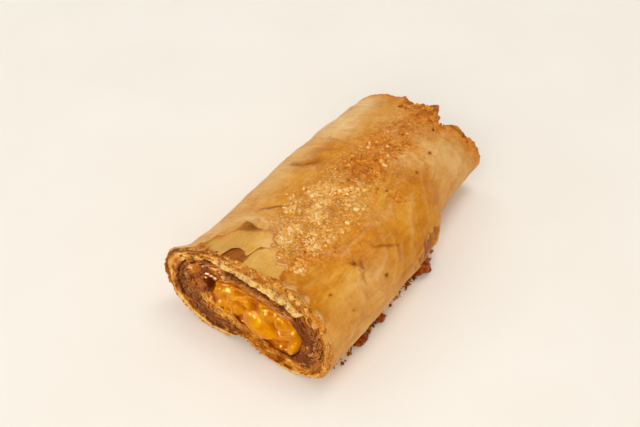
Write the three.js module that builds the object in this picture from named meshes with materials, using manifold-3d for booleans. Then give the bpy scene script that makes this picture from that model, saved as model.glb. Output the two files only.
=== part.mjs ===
// Fruit strudel: one portion of a flattened roll of baked filo, cut straight across at the near end and
// torn at the far end. Fruit filling fills a tunnel through the roll, a pale crumb layer lies in the wall
// above it, coarse sugar is baked onto the crown, and syrup that leaked out has caramelised along the
// right-hand foot.
// Millimetres. X runs across the roll, Y from the cut end to the torn end, and Z is up from the surface.
import * as THREE from "three";
import { ParametricGeometry } from "three/addons/geometries/ParametricGeometry.js";
import { ImprovedNoise } from "three/addons/math/ImprovedNoise.js";
import { mergeVertices } from "three/addons/utils/BufferGeometryUtils.js";
import Module from "manifold-3d";

const { clamp, degToRad, lerp, seededRandom, smoothstep } = THREE.MathUtils;

// Driving dimensions of the roll.
const LENGTH = 128; // cut face to torn end
const WIDTH = 77; // across the cut face
const HEIGHT = 37.5; // resting surface to crown
const NEAR = -LENGTH / 2;
const FAR = LENGTH / 2;

// Outline of the roll along its length, as [share of the length, share of the width or height].
const LEFT_SHARES = [[0, 0.5], [0.25, 0.476], [0.55, 0.482], [0.75, 0.47], [1, 0.458]];
const RIGHT_SHARES = [[0, 0.5], [0.3, 0.503], [0.5, 0.487], [0.62, 0.462], [0.76, 0.368], [1, 0.36]];
const CROWN_SHARES = [[0, 0.97], [0.35, 1], [0.75, 1], [1, 0.94]];
const WAIST_SHARE = 0.42; // height of the widest line, as a share of the crown
const TOP_POWER = 2.35; // 2 is an ellipse, and more is squarer
const BASE_POWER = { right: 2.8, left: 2.3 };
const BASE_SINK = 1.4; // depth of the rounded foot that is pressed flat on the surface
const LUMP = 0.7; // soft unevenness of the rolled sheets
const LUMP_SIZE = 17;

// Arch under the cut end, where the foot has risen off the surface.
const ARCH_X = -2;
const ARCH_WIDTH = 8;
const ARCH_HEIGHT = 3.4;
const ARCH_REACH = 14; // back along the roll

// Torn end: the hump has a tip on its right and steps down to a lower lobe, with a nick between them.
const STEP_X = 11;
const STEP_WIDTH = 4;
const STEP_REACH = 26; // how far the step runs back along the roll
const TIP_X = 5;
const TIP_WIDTH = 4;
const TIP_OVERRUN = 3;
const LOBE_DROP = 0.13; // share of the height lost over the lobe
const LOBE_OVERRUN = 3.5; // of the lobe, beyond the hump
const LOBE_LIFT = 12; // of the lobe's foot, off the surface
const LOBE_LIFT_X = [8, 27];
const LOBE_LIFT_REACH = 34;
const NICK_X = 10.3;
const NICK_DEPTH = 5;
const NICK_WIDTH = 2.6;
const TEAR_RAGGED = 1.6;

// Fold that bulges out low on the right, about half way along.
const FOLD_BULGE = 1.6;
const FOLD_Y = 12;
const FOLD_LENGTH = 14;
const FOLD_HEIGHT = 10;

// Cut end: the foot and the right stand forward, and the outer sheets have flaked back over the top and
// flare out on the left.
const CUT_LEAN = 5; // foot to crown
const CUT_SKEW = 2; // left to right
const SKIN_SETBACK = 4.2;
const SKIN_RAGGED = 2.2;
const SETBACK_SHARE = 0.55; // of the wall's thickness that has flaked back
const FLARE = 2.6;
const FLARE_ANGLE = degToRad(157);
const FLARE_SHARPNESS = 14;
const FLARE_REACH = 10;
const LAYERS = 5; // bundles of filo sheets that stand out at the cut
const LAYER_RELIEF = 0.75;

// Tunnel through the roll, which holds the fruit.
const TUNNEL = { x: 3.5, z: 16.5, halfWidth: 21.5, halfHeight: 10.5, tilt: degToRad(-9), power: 2.6 };
const TUNNEL_FAR_SHARE = 0.72; // it narrows towards the torn end, and stays inside the lifted lobe
const GAP = 0.35; // between one piece and the next

// Crumb layer in the wall over the fruit, as shares of the wall's thickness.
const CRUMB = { from: degToRad(38), to: degToRad(128), outer: 0.3, inner: 0.68 };
const CRUMB_INSET = 1; // behind the cut face
const CRUMB_ROUGHNESS = 0.8;
const CRUMB_OVERRUN = 12; // of the slot it lies in, beyond both ends together

// Fruit: pieces bedded in jelly, each [x, z, half width, half height, how far it stands out of the jelly].
const FRUIT_PIECES = [
  [-10, 20.5, 7.5, 5.5, 1.9],
  [1, 22.5, 8, 4.5, 1.5],
  [5.5, 14.5, 7.5, 8, 3],
  [15.5, 18, 7, 5.5, 1.7],
  [19, 10, 6, 5, 2.4],
  [-7, 14.5, 6, 4, 1.8],
];
const JELLY_RECESS = 1.4; // behind the cut
const AIR_GAP = { x: -16.2, z: 22, halfWidth: 2.6, halfHeight: 4.6, depth: 7 }; // left of the fruit
const FAR_RECESS = 8; // fruit and crumb behind the torn end

// Coarse sugar on the crown.
const SUGAR_COUNT = 74;
const SUGAR_SIZE = [1.3, 2.3];
const SUGAR_MIDDLE = degToRad(83); // angle of the band's middle line
const SUGAR_SPREAD = degToRad(17);
const SUGAR_RUN = [0.13, 0.86]; // shares of the length
const SUGAR_THINNING = 1.5; // 1 is even, and more thins out towards the torn end
const SUGAR_SUNK = 0.3; // share of a grain's size below the skin

// Loose flakes of the outer sheet: [degrees, share of the length, half length round, half length along].
const FLAKES = [
  [120, 0.175, 6, 3.5],
  [130, 0.225, 5, 3.5],
  [110, 0.1, 8, 4],
  [64, 0.1, 8, 4.5],
  [50, 0.25, 6, 3],
  [127, 0.57, 7, 2.5],
];
const FLAKE_RADIUS = WIDTH * 0.42;
const FLAKE_THICKNESS = 0.9;
const FLAKE_LIFT = 1.3;

// Caramelised syrup along the right-hand foot: [y, half width, half length, half height, how far its
// middle lies outside the foot].
const SYRUP_DROPS = [
  [7.5, 3.6, 5, 3.6, 1.3],
  [-26, 1.8, 2.2, 2, 3],
  [-40, 2, 3.6, 2, 3.4],
];
const SYRUP_ANGLE = degToRad(-40); // of the foot it leans against
const SYRUP_LUMP = 0.35;

// Fineness of the facets.
const AROUND = 64;
const RINGS = { outside: 31, tornEnd: 6, tunnel: 6, cutEnd: 15 };
const FRUIT_AROUND = 36;
const FRUIT_ROWS = { cut: 16, side: 6, far: 3 };
const FINEST = 0.01; // shorter edges left by joining and cutting are closed up

const FULL_TURN = 2 * Math.PI;
const perlin = new ImprovedNoise();
const wasm = await Module();
wasm.setup();

// Smooth curve through [share of the length, value] stations.
function through(stations) {
  return (y) => {
    const share = (y - NEAR) / LENGTH;
    const last = stations.length - 1;
    const next = stations.findIndex(([at], i) => i > 0 && (at >= share || i === last));
    const [[from, a], [to, b]] = [stations[next - 1], stations[next]];
    return lerp(a, b, smoothstep(share, from, to));
  };
}
const leftShare = through(LEFT_SHARES);
const rightShare = through(RIGHT_SHARES);
const crownShare = through(CROWN_SHARES);

// 1 in the middle, falling away smoothly over about one unit.
const hump = (t) => Math.exp(-t * t);

// Distance from the middle to a superellipse of that power, at an angle whose cosine and sine are given.
const squareness = (c, s, power) => (Math.abs(c) ** power + Math.abs(s) ** power) ** (-1 / power);

// Outside of the roll at an angle (0 is right, a quarter turn is up) and a place along its length.
function skinPoint(angle, y) {
  const c = Math.cos(angle);
  const s = Math.sin(angle);
  const basePower = c > 0 ? BASE_POWER.right : BASE_POWER.left;
  const reach = squareness(c, s, s > 0 ? TOP_POWER : basePower);
  const crown = HEIGHT * crownShare(y);
  const waist = WAIST_SHARE * crown;
  let x = WIDTH * (c > 0 ? rightShare(y) : leftShare(y)) * c * reach;
  let z = waist + (s > 0 ? crown - waist : waist + BASE_SINK) * s * reach;

  const lump = LUMP * perlin.noise(x / LUMP_SIZE, y / LUMP_SIZE, z / LUMP_SIZE);
  x += lump * c;
  z += lump * s;

  const nearTear = smoothstep(y, FAR - STEP_REACH, FAR);
  const onLobe = smoothstep(x, STEP_X - STEP_WIDTH, STEP_X + STEP_WIDTH);
  z -= LOBE_DROP * crown * nearTear * onLobe * smoothstep(z, waist / 2, crown);
  const arch = hump((x - ARCH_X) / ARCH_WIDTH) * smoothstep(NEAR + ARCH_REACH - y, 0, ARCH_REACH);
  const foot = 1 - smoothstep(z, 0, waist);
  z = lerp(z, Math.max(z, 0) + ARCH_HEIGHT * arch, foot);
  const liftStart = FAR - LOBE_LIFT_REACH;
  const lifted = smoothstep(y, liftStart, liftStart + LOBE_LIFT_REACH / 2) * smoothstep(x, ...LOBE_LIFT_X);
  z += LOBE_LIFT * lifted * (1 - smoothstep(z, 0, waist));

  const bulge = hump((y - FOLD_Y) / FOLD_LENGTH) * hump((z - FOLD_HEIGHT / 2) / FOLD_HEIGHT);
  x += FOLD_BULGE * bulge * Math.max(c, 0);
  const towardsFlare = Math.max(Math.cos(angle - FLARE_ANGLE), 0) ** FLARE_SHARPNESS;
  const flare = FLARE * smoothstep(NEAR + FLARE_REACH - y, 0, FLARE_REACH) * towardsFlare;
  x += flare * c;
  z += flare * s;
  return new THREE.Vector3(x, y, Math.max(z, 0));
}

// Wall of the tunnel at the same angle, moved in by an inset.
function tunnelPoint(angle, y, inset = 0) {
  const c = Math.cos(angle);
  const s = Math.sin(angle);
  const share = lerp(1, TUNNEL_FAR_SHARE, clamp((y - NEAR) / LENGTH, 0, 1));
  const reach = squareness(c, s, TUNNEL.power);
  const across = (TUNNEL.halfWidth * share - inset) * c * reach;
  const up = (TUNNEL.halfHeight * share - inset) * s * reach;
  const x = TUNNEL.x + across * Math.cos(TUNNEL.tilt) - up * Math.sin(TUNNEL.tilt);
  const z = TUNNEL.z + across * Math.sin(TUNNEL.tilt) + up * Math.cos(TUNNEL.tilt);
  return new THREE.Vector3(x, y, z);
}

// Point in the wall: depth 0 is the skin and 1 is the tunnel.
const wallPoint = (angle, y, depth) => skinPoint(angle, y).lerp(tunnelPoint(angle, y), depth);

// How far the outer sheets have flaked back from the cut, most over the top.
function skinSetback(angle) {
  const top = smoothstep(Math.sin(angle), 0.45, 0.8);
  const ragged = SKIN_RAGGED * perlin.noise(7 * Math.cos(angle), 7 * Math.sin(angle), 0.5);
  return top * Math.max(SKIN_SETBACK + ragged, 0);
}

// Plane of the knife cut.
const cutPlane = ({ x, z }) => NEAR + CUT_LEAN * (z / HEIGHT - 0.5) - (CUT_SKEW * x) / WIDTH;

// Place of the cut surface along the roll: flaked back outside, and ridged where bundles of sheets end.
function cutPlace(angle, depth) {
  const setback = skinSetback(angle) * (1 - smoothstep(depth, 0, SETBACK_SHARE));
  const wander = perlin.noise(2.5 * Math.cos(angle), 2.5 * Math.sin(angle), depth);
  const ridge = Math.sin(FULL_TURN * (LAYERS * depth + wander)) * Math.sin(Math.PI * depth);
  return cutPlane(wallPoint(angle, NEAR, depth)) + setback + LAYER_RELIEF * (0.5 + 0.5 * ridge);
}

// Place of the torn end: a tip, a nick and then the lobe, which is further out, and ragged all round.
function tearPlace(angle) {
  const { x } = skinPoint(angle, FAR);
  const upper = smoothstep(Math.sin(angle), -0.2, 0.5);
  const tip = TIP_OVERRUN * hump((x - TIP_X) / TIP_WIDTH);
  const nick = NICK_DEPTH * hump((x - NICK_X) / NICK_WIDTH);
  const lobe = LOBE_OVERRUN * smoothstep(x, STEP_X, STEP_X + STEP_WIDTH);
  const ragged = TEAR_RAGGED * (perlin.noise(4 * Math.cos(angle), 4 * Math.sin(angle), 3) - 0.5);
  return FAR + upper * (tip - nick) + lobe + ragged;
}

// Closed mesh as a manifold-3d solid, for joining and cutting.
function solidOf(geometry) {
  const bare = new THREE.BufferGeometry().setAttribute("position", geometry.getAttribute("position"));
  bare.setIndex(geometry.index);
  const merged = mergeVertices(bare, 1e-3);
  const mesh = new wasm.Mesh({
    numProp: 3,
    vertProperties: new Float32Array(merged.getAttribute("position").array),
    triVerts: new Uint32Array(merged.index.array),
  });
  return new wasm.Manifold(mesh);
}

// A manifold-3d solid as a flat-shaded geometry.
function geometryOf(solid) {
  const { vertProperties, triVerts } = solid.getMesh();
  const geometry = new THREE.BufferGeometry();
  geometry.setAttribute("position", new THREE.BufferAttribute(vertProperties, 3));
  geometry.setIndex(new THREE.BufferAttribute(triVerts, 1));
  const flat = geometry.toNonIndexed();
  flat.computeVertexNormals();
  return flat;
}

// Moves every vertex of a geometry to where place(vertex) puts it.
function reshape(geometry, place) {
  const position = geometry.getAttribute("position");
  const vertex = new THREE.Vector3();
  for (let i = 0; i < position.count; i++) {
    const { x, y, z } = place(vertex.fromBufferAttribute(position, i));
    position.setXYZ(i, x, y, z);
  }
  return geometry;
}

// Torn surface at a depth in the wall, ridged where bundles of sheets end.
function tornPoint(angle, depth) {
  const ridge = LAYER_RELIEF * Math.sin(FULL_TURN * LAYERS * depth) * Math.sin(Math.PI * depth);
  return wallPoint(angle, tearPlace(angle) + ridge, depth);
}

// The roll: outside, torn end, tunnel and cut end make one closed loop of rings.
function rollSolid() {
  const outside = (t, angle) => skinPoint(angle, lerp(cutPlace(angle, 0), tearPlace(angle), t));
  const tornEnd = (t, angle) => tornPoint(angle, t);
  const tunnel = (t, angle) => tunnelPoint(angle, lerp(tearPlace(angle), cutPlace(angle, 1), t));
  const cutEnd = (t, angle) => wallPoint(angle, cutPlace(angle, 1 - t), 1 - t);
  const stretch = (rings, place) =>
    Array.from({ length: rings }, (_, i) => (angle) => place(i / rings, angle));
  const loop = [
    ...stretch(RINGS.outside, outside),
    ...stretch(RINGS.tornEnd, tornEnd),
    ...stretch(RINGS.tunnel, tunnel),
    ...stretch(RINGS.cutEnd, cutEnd),
  ];
  const onLoop = (u, v, target) => {
    const ring = loop[Math.round(v * loop.length) % loop.length];
    target.copy(ring(-u * FULL_TURN));
  };
  return solidOf(new ParametricGeometry(onLoop, AROUND, loop.length));
}

// A band of the wall over the fruit, with room round it: a box bent into the wall, out of both ends.
function crumbBand(room) {
  const turn = room / TUNNEL.halfWidth;
  const share = room / (HEIGHT - TUNNEL.z - TUNNEL.halfHeight);
  const bent = reshape(new THREE.BoxGeometry(1, 1, 1, 14, 9, 1), ({ x, y, z }) => {
    const angle = lerp(CRUMB.to + turn, CRUMB.from - turn, x + 0.5);
    const along = y * (LENGTH + CRUMB_OVERRUN);
    return wallPoint(angle, along, lerp(CRUMB.inner + share, CRUMB.outer - share, z + 0.5));
  });
  return solidOf(bent);
}

// The crumb layer is that band trimmed to end inside the roll, with a rough face at the cut.
function crumbSolid() {
  const far = FAR - FAR_RECESS;
  const trim = reshape(new THREE.BoxGeometry(WIDTH, 1, HEIGHT, 36, 1, 16), ({ x, y, z }) => {
    const point = new THREE.Vector3(x, 0, z + HEIGHT / 2);
    const rough = CRUMB_ROUGHNESS * perlin.noise(x / 1.9, z / 1.9, 0.5);
    return point.setY(rough + (y < 0 ? cutPlane(point) + CRUMB_INSET : far));
  });
  return crumbBand(0).intersect(solidOf(trim));
}

// A rounded lump, uneven by Perlin noise, with its half sizes and its middle.
function lump(halfSizes, middle, unevenness, seed) {
  const ball = new THREE.SphereGeometry(1, 10, 7);
  return solidOf(
    reshape(ball, (p) => {
      const swell = 1 + unevenness * perlin.noise(p.x * 1.7 + seed, p.y * 1.7, p.z * 1.7);
      return p.clone().multiplyScalar(swell).multiply(halfSizes).add(middle);
    }),
  );
}

// How far the fruit's cut surface lies behind the cut: jelly, pieces standing out of it, and the air gap.
function fruitRecess({ x, z }) {
  const within = (a, b) => Math.max(1 - a * a - b * b, 0);
  const rise = FRUIT_PIECES.map(([atX, atZ, halfWidth, halfHeight, out]) => {
    return out * Math.sqrt(within((x - atX) / halfWidth, (z - atZ) / halfHeight));
  });
  const gap = within((x - AIR_GAP.x) / AIR_GAP.halfWidth, (z - AIR_GAP.z) / AIR_GAP.halfHeight);
  return JELLY_RECESS - Math.max(...rise) + AIR_GAP.depth * Math.sqrt(gap);
}

// The fruit fills the tunnel: a ball drawn out along it, with a broad face at each end.
function fruitSolid() {
  const rows = FRUIT_ROWS.cut + FRUIT_ROWS.side + FRUIT_ROWS.far;
  const ball = new THREE.SphereGeometry(1, FRUIT_AROUND, rows);
  const far = FAR - FAR_RECESS;
  const drawn = reshape(ball, (p) => {
    const angle = Math.atan2(p.z, p.x);
    const row = (rows * Math.acos(clamp(-p.y, -1, 1))) / Math.PI;
    const spread = Math.min(row / FRUIT_ROWS.cut, (rows - row) / FRUIT_ROWS.far, 1);
    const middle = (y) => new THREE.Vector3(TUNNEL.x, y, TUNNEL.z);
    const inTunnel = (y) => middle(y).lerp(tunnelPoint(angle, y, GAP), spread);
    const face = inTunnel(NEAR);
    const along = clamp((row - FRUIT_ROWS.cut) / FRUIT_ROWS.side, 0, 1);
    return inTunnel(lerp(cutPlane(face) + fruitRecess(face), far, along));
  });
  return solidOf(drawn);
}

// Grains of sugar as tumbled boxes, bedded in the skin.
function sugarSolids() {
  seededRandom(7);
  const draw = (low, high) => lerp(low, high, seededRandom());
  return Array.from({ length: SUGAR_COUNT }, () => {
    const angle = SUGAR_MIDDLE + SUGAR_SPREAD * (draw(-1, 1) + draw(-1, 1)) * 0.5;
    const place = skinPoint(angle, NEAR + LENGTH * lerp(...SUGAR_RUN, draw(0, 1) ** SUGAR_THINNING));
    const sizes = [draw(...SUGAR_SIZE), draw(...SUGAR_SIZE), draw(...SUGAR_SIZE)];
    const tumble = new THREE.Euler(draw(0, FULL_TURN), draw(0, FULL_TURN), draw(0, FULL_TURN));
    place.z += sizes[2] * (0.5 - SUGAR_SUNK);
    const grain = new THREE.BoxGeometry(...sizes);
    grain.applyMatrix4(new THREE.Matrix4().makeRotationFromEuler(tumble).setPosition(place));
    return solidOf(grain);
  });
}

// A loose flake of the outer sheet, lifting off the skin towards the cut.
function flakeSolid([degrees, share, halfRound, halfAlong]) {
  const sheet = new THREE.CylinderGeometry(1, 1, 1, 12, 1);
  return solidOf(
    reshape(sheet, ({ x, y, z }) => {
      const ragged = 1 + 0.3 * perlin.noise(2.3 * x + degrees, 2.3 * z, share * 9);
      const along = NEAR + LENGTH * share + z * halfAlong * ragged;
      const angle = degToRad(degrees) + (x * halfRound * ragged) / FLAKE_RADIUS;
      const lift = FLAKE_LIFT * smoothstep(-z, 0, 1) + FLAKE_THICKNESS * (y < 0 ? -1 : 0.5);
      const point = skinPoint(angle, along);
      return point.add(new THREE.Vector3(Math.cos(angle), 0, Math.sin(angle)).multiplyScalar(lift));
    }),
  );
}

// Envelope of the roll with a gap round it, for cutting what leans against it.
function rollEnvelope(gap) {
  const cylinder = new THREE.CylinderGeometry(1, 1, 1, AROUND, RINGS.outside);
  return solidOf(
    reshape(cylinder, ({ x, y, z }) => {
      const angle = Math.atan2(z, x);
      const along = lerp(NEAR, FAR, y + 0.5);
      const outward = new THREE.Vector3(Math.cos(angle), 0, Math.sin(angle)).multiplyScalar(gap);
      const rim = skinPoint(angle, along).add(outward);
      return new THREE.Vector3(0, along, TUNNEL.z).lerp(rim, Math.hypot(x, z));
    }),
  );
}

function syrupSolid([y, halfWidth, halfLength, halfHeight, out], i) {
  const foot = skinPoint(SYRUP_ANGLE, y);
  const middle = new THREE.Vector3(foot.x + out, y, halfHeight * 0.8);
  const drop = lump(new THREE.Vector3(halfWidth, halfLength, halfHeight), middle, SYRUP_LUMP, 5 * i + 1);
  const floor = solidOf(new THREE.BoxGeometry(WIDTH, LENGTH, HEIGHT).translate(foot.x, y, -HEIGHT / 2));
  return drop.subtract(floor).subtract(rollEnvelope(GAP));
}

// Colours and sheen as the photographed piece shows them.
const FINISHES = {
  filo: { color: 0xd39a4c, roughness: 0.55, metalness: 0 },
  fruit: { color: 0xe88a10, roughness: 0.2, metalness: 0 },
  crumb: { color: 0xd9b45f, roughness: 0.9, metalness: 0 },
  syrup: { color: 0x7a2f12, roughness: 0.3, metalness: 0 },
};

function piece(name, solid, finish) {
  const material = new THREE.MeshStandardMaterial(FINISHES[finish]);
  const mesh = new THREE.Mesh(geometryOf(solid.simplify(FINEST)), material);
  mesh.name = name;
  return mesh;
}

const roll = [...FLAKES.map(flakeSolid), ...sugarSolids()].reduce(
  (whole, relief) => whole.add(relief),
  rollSolid().subtract(crumbBand(GAP)),
);

const strudel = new THREE.Group();
strudel.name = "strudel";
strudel.add(piece("filo_roll", roll, "filo"));
strudel.add(piece("fruit_filling", fruitSolid(), "fruit"));
strudel.add(piece("crumb_layer", crumbSolid(), "crumb"));
SYRUP_DROPS.forEach((drop, i) => {
  strudel.add(piece(`leaked_syrup_${i + 1}`, syrupSolid(drop, i), "syrup"));
});

// The origin is under the middle of the strudel, on the surface it lies on.
const box = new THREE.Box3().setFromObject(strudel);
const middle = box.getCenter(new THREE.Vector3());
strudel.position.set(-middle.x, -middle.y, -box.min.z);

export default strudel;
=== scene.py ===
"""Looks of a fruit strudel: a cut length of baked filo roll with a sugared crown and a fruit filling.

Lengths in the shapes are millimetres, with the roll's axis at x 0.
The pieces are moved to the frame and to metres last.
"""

import math

import bmesh
import bpy
import numpy as np
from mathutils import Euler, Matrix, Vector, noise


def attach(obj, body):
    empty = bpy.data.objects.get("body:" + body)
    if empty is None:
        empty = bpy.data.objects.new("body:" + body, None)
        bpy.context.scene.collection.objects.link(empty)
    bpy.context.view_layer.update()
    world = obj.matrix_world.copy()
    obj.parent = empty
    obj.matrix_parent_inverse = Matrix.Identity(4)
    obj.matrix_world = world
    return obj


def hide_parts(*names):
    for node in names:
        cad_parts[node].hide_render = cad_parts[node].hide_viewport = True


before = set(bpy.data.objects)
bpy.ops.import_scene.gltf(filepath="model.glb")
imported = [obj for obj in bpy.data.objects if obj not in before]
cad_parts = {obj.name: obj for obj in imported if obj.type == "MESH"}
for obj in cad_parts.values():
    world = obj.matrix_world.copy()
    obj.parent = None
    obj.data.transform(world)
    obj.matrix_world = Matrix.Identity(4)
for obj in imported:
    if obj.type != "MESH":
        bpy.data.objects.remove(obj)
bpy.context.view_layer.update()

# Outline of the roll, the same as the solids have.
# Shares are given as (share of the length, share of the width or the height).
LENGTH = 128.0
WIDTH = 77.0
HEIGHT = 37.5
NEAR = -LENGTH / 2
FAR = LENGTH / 2
LEFT_SHARES = ((0, 0.5), (0.25, 0.476), (0.55, 0.482), (0.75, 0.47), (1, 0.458))
RIGHT_SHARES = ((0, 0.5), (0.3, 0.503), (0.5, 0.487), (0.62, 0.462), (0.76, 0.368), (1, 0.36))
CROWN_SHARES = ((0, 0.97), (0.35, 1), (0.75, 1), (1, 0.94))
WAIST_SHARE = 0.42
TOP_POWER = 2.35
BASE_POWER_RIGHT = 2.8
BASE_POWER_LEFT = 2.3
BASE_SINK = 1.4
ARCH_X = -2.0
ARCH_WIDTH = 8.0
ARCH_HEIGHT = 3.4
ARCH_REACH = 14.0
STEP_X = 11.0
STEP_WIDTH = 4.0
STEP_REACH = 26.0
TIP_X = 5.0
TIP_WIDTH = 4.0
TIP_OVERRUN = 3.0
LOBE_DROP = 0.13
LOBE_OVERRUN = 3.5
LOBE_LIFT = 12.0
LOBE_LIFT_X = (8.0, 27.0)
LOBE_LIFT_REACH = 34.0
NICK_X = 10.3
NICK_DEPTH = 5.0
NICK_WIDTH = 2.6
FOLD_BULGE = 1.6
FOLD_Y = 12.0
FOLD_LENGTH = 14.0
FOLD_HEIGHT = 10.0
CUT_LEAN = 5.0
CUT_SKEW = 2.0
FLARE = 2.6
FLARE_ANGLE = math.radians(157)
FLARE_SHARPNESS = 14
FLARE_REACH = 10.0
TUNNEL_X = 3.5
TUNNEL_Z = 16.5
TUNNEL_HALF_WIDTH = 21.5
TUNNEL_HALF_HEIGHT = 10.5
TUNNEL_TILT = math.radians(-9)
TUNNEL_POWER = 2.6
TUNNEL_FAR_SHARE = 0.72
GAP = 0.35
FAR_RECESS = 8.0

# Frame: the middle of the solids' box lies at its origin, which is this far from the roll's axis.
SHIFT = np.array([0.56, -0.65, 0.0])
MM = 0.001

# Roll: columns round it, rings along its skin and its tunnel, and the angle from which an edge is sharp.
COLUMNS = 360
SKIN_RINGS = 130
TUNNEL_RINGS = 7
SHARP = math.radians(40)
# Fruit and crumb layer: columns round, and rows over the near face, along the side and over the far face.
FRUIT_MESH = (210, 110, 20, 26)
CRUMB_MESH = (220, 60, 20, 6)

# Where the outermost three sheets end over the cut, as (degrees round the roll, y).
SKIN_EDGE = (
    (30, -61.5), (40, -60), (50, -58.8), (53.5, -58.5), (56, -57), (58.5, -57.5), (60.5, -59), (62.5, -57.5),
    (66, -57.8), (68.5, -59.5), (72.6, -57.5), (73.2, -53.5), (77, -50.5), (80, -51.2), (83.5, -51.5),
    (86, -49.2), (88.5, -48), (92, -47.5), (93, -45.5), (94.5, -43), (98.5, -40.8), (101, -40.2), (103, -42),
    (105, -41.2), (108, -42.3), (112, -43.3), (116, -44.3), (119, -45.4), (120.6, -46.3), (121.4, -50),
    (123.5, -51.2), (126, -51.5), (128, -53), (129, -55), (130.5, -57.5), (134, -59), (138.5, -60.5),
    (150, -62.5),
)
SECOND_EDGE = (
    (30, -62), (40, -61), (53.5, -59.5), (58, -58.6), (62.5, -59.4), (68.5, -60), (72.6, -58), (73.5, -54.4),
    (77, -51.5), (83.5, -52.2), (88.5, -48.6), (92.5, -47.8), (98, -48.8), (99.4, -51.5), (99.8, -54.5),
    (100.6, -55.5), (104.5, -53.5), (108.5, -53.5), (111, -55.5), (111.8, -58), (112.8, -60), (118, -60.5),
    (123, -59.6), (125, -59), (128, -61), (135.5, -61), (150, -63),
)
THIRD_EDGE = (
    (30, -62.6), (40, -61.8), (53.5, -60.4), (58, -61), (62.5, -59.8), (68, -60.6), (73, -58.8), (75.5, -58),
    (80, -59), (84, -59.5), (86, -60.4), (88.5, -59.5), (92.5, -59), (95, -60.5), (97.5, -61), (105, -61),
    (112, -61.2), (128, -61.8), (150, -63.3),
)
# The third sheet is browned from this angle on, in degrees, with a soft edge.
BROWN_FROM = 99.6
BROWN_EDGE = 0.6
# Outer sheets: their thickness, the gap under each, how far each end lies past the one above at least,
# how much of the skin's lift each has, how many rings show of each,
# and how far the gap goes in: everywhere, with more where they part, over the top and in the blister.
SHEET_THICKNESS = 0.35
OUTER_GAP = 0.4
EDGE_STEP = 0.35
LIFT_SHARES = (1.0, 0.2, 0.15)
TOP_RINGS = (0, 22, 14)
EDGE_TUCK = 0.15
PARTED_TUCK = 0.3
TOP_TUCK = 0.4
BLISTER_TUCK = 5.0
# Inner sheets: how many, how deep the gaps between them go, how much their depths ripple,
# and how far they stand back behind the crumb layer and at the top of the cut.
INNER_SHEETS = 11
TUCK = 1.5
RIPPLE_SHARE = 0.14
CRUMB_SETBACK = 2.4
TOP_SETBACK = 1.6
# The skin's edge is loose where the sine of the angle is more than this.
TOP_FROM = 0.3

# How far the skin's edge curls up: (degrees, spread in degrees, height). The blister stands highest.
# A curl fades over its reach, and all of the edge over the top is lifted a little.
BLISTER_DEGREES = 112
BLISTER_SPREAD = 4.4
CURLS = (
    (152, 13, 1.2), (BLISTER_DEGREES, BLISTER_SPREAD, 3.8), (125, 3.5, 1.1), (63, 5, 1.0), (75, 3, 0.9),
    (52, 4, 0.6), (96, 4, 0.5),
)
CURL_REACH = 9.0
EDGE_LIFT = 0.25

# Bands of the cut: (from degree, to degree, from depth, to depth, tone, soaked, stained).
# Depth 0 is the skin and 1 the tunnel, tone 0 is burnt and 1 cream. A later band lies over an earlier one.
CUT_BANDS = (
    (25, 150, 0.12, 0.32, 0.6, 0.0, 0.0),
    (60, 112, 0.15, 0.34, 0.85, 0.0, 0.0),
    (40, 140, 0.66, 0.78, 0.08, 0.0, 0.2),
    (48, 132, 0.78, 1.1, 0.48, 0.3, 0.8),
    (124, 205, 0.08, 0.42, 0.05, 0.0, 0.3),
    (106, 154, 0.2, 0.29, 0.95, 0.0, 0.0),
    (132, 205, 0.4, 1.1, 0.25, 1.0, 0.0),
    (140, 182, -0.2, 0.2, 0.75, 0.3, 0.0),
    (198, 268, 0.22, 0.64, 0.1, 0.2, 0.6),
    (196, 264, 0.68, 1.1, 0.66, 0.8, 0.0),
    (262, 326, 0.24, 1.1, 0.5, 0.9, 0.0),
    (200, 320, -0.2, 0.2, 0.85, 0.0, 0.0),
    (330, 400, -0.2, 0.18, 0.55, 0.0, 0.0),
    (326, 400, 0.18, 0.44, 0.2, 0.1, 0.1),
    (322, 408, 0.44, 0.6, 0.1, 0.3, 0.2),
    (322, 408, 0.6, 1.1, 0.0, 0.8, 0.05),
)
# Tone of the sheets outside the bands, how soft the bands' ends and sides are, and how far their ends sway.
PLAIN_TONE = 0.72
BAND_SOFT_DEGREES = 6
BAND_SOFT_DEPTH = 0.03
BAND_SWAY_DEGREES = 9

# How far the innermost sheets reach in over the fruit at the cut, as (degrees, length).
LIPS = (
    (0, 0), (30, 0), (60, 0.8), (90, 2.0), (135, 3.4), (150, 2.2), (163, 0), (212, 0), (225, 2), (240, 3.8),
    (255, 3.8), (270, 2), (285, 2.4), (300, 4), (315, 2), (330, 0), (360, 0),
)
# How far along the roll the lips count, and how deep a lip may reach, as a share of the wall.
LIP_REACH = (8, 20)
DEEPEST_SHARE = 1.7
# Gap in the sheets at the left end of the fruit, dented in and painted dark as shade: x, z, half width, half
# height, depth.
WALL_GAP = (-19.6, 20.2, 2.6, 3.8, 5.0)

# Hole torn in the skin low on the right: middle (degrees, y), half sizes round and along the roll.
HOLE = (-9.0, 8.0, 7.5, 12.0)
HOLE_DEPTH = 1.0

# Torn end: sheets that show there, how ragged it is, how far the sheets stand back from the skin's edge,
# how deep the gaps between them go and how far each steps out from the next.
# Bits of skin that stick out or are missing there are (degrees, length, spread in degrees).
TORN_SHEETS = 9
TEAR_RAGGED = 1.6
TORN_SETBACK = 1.5
TORN_GAP = 2.2
TORN_STEP = 1.6
TORN_BITS = (
    (119, 1.0, 3), (106, 1.2, 2), (101, -0.8, 2), (96.5, -1.4, 2), (91, 1.0, 2), (86, -0.8, 1.5),
    (80, 1.4, 2.5), (60, 0.8, 4), (45, -0.8, 3), (36, 0.8, 4),
)
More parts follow.
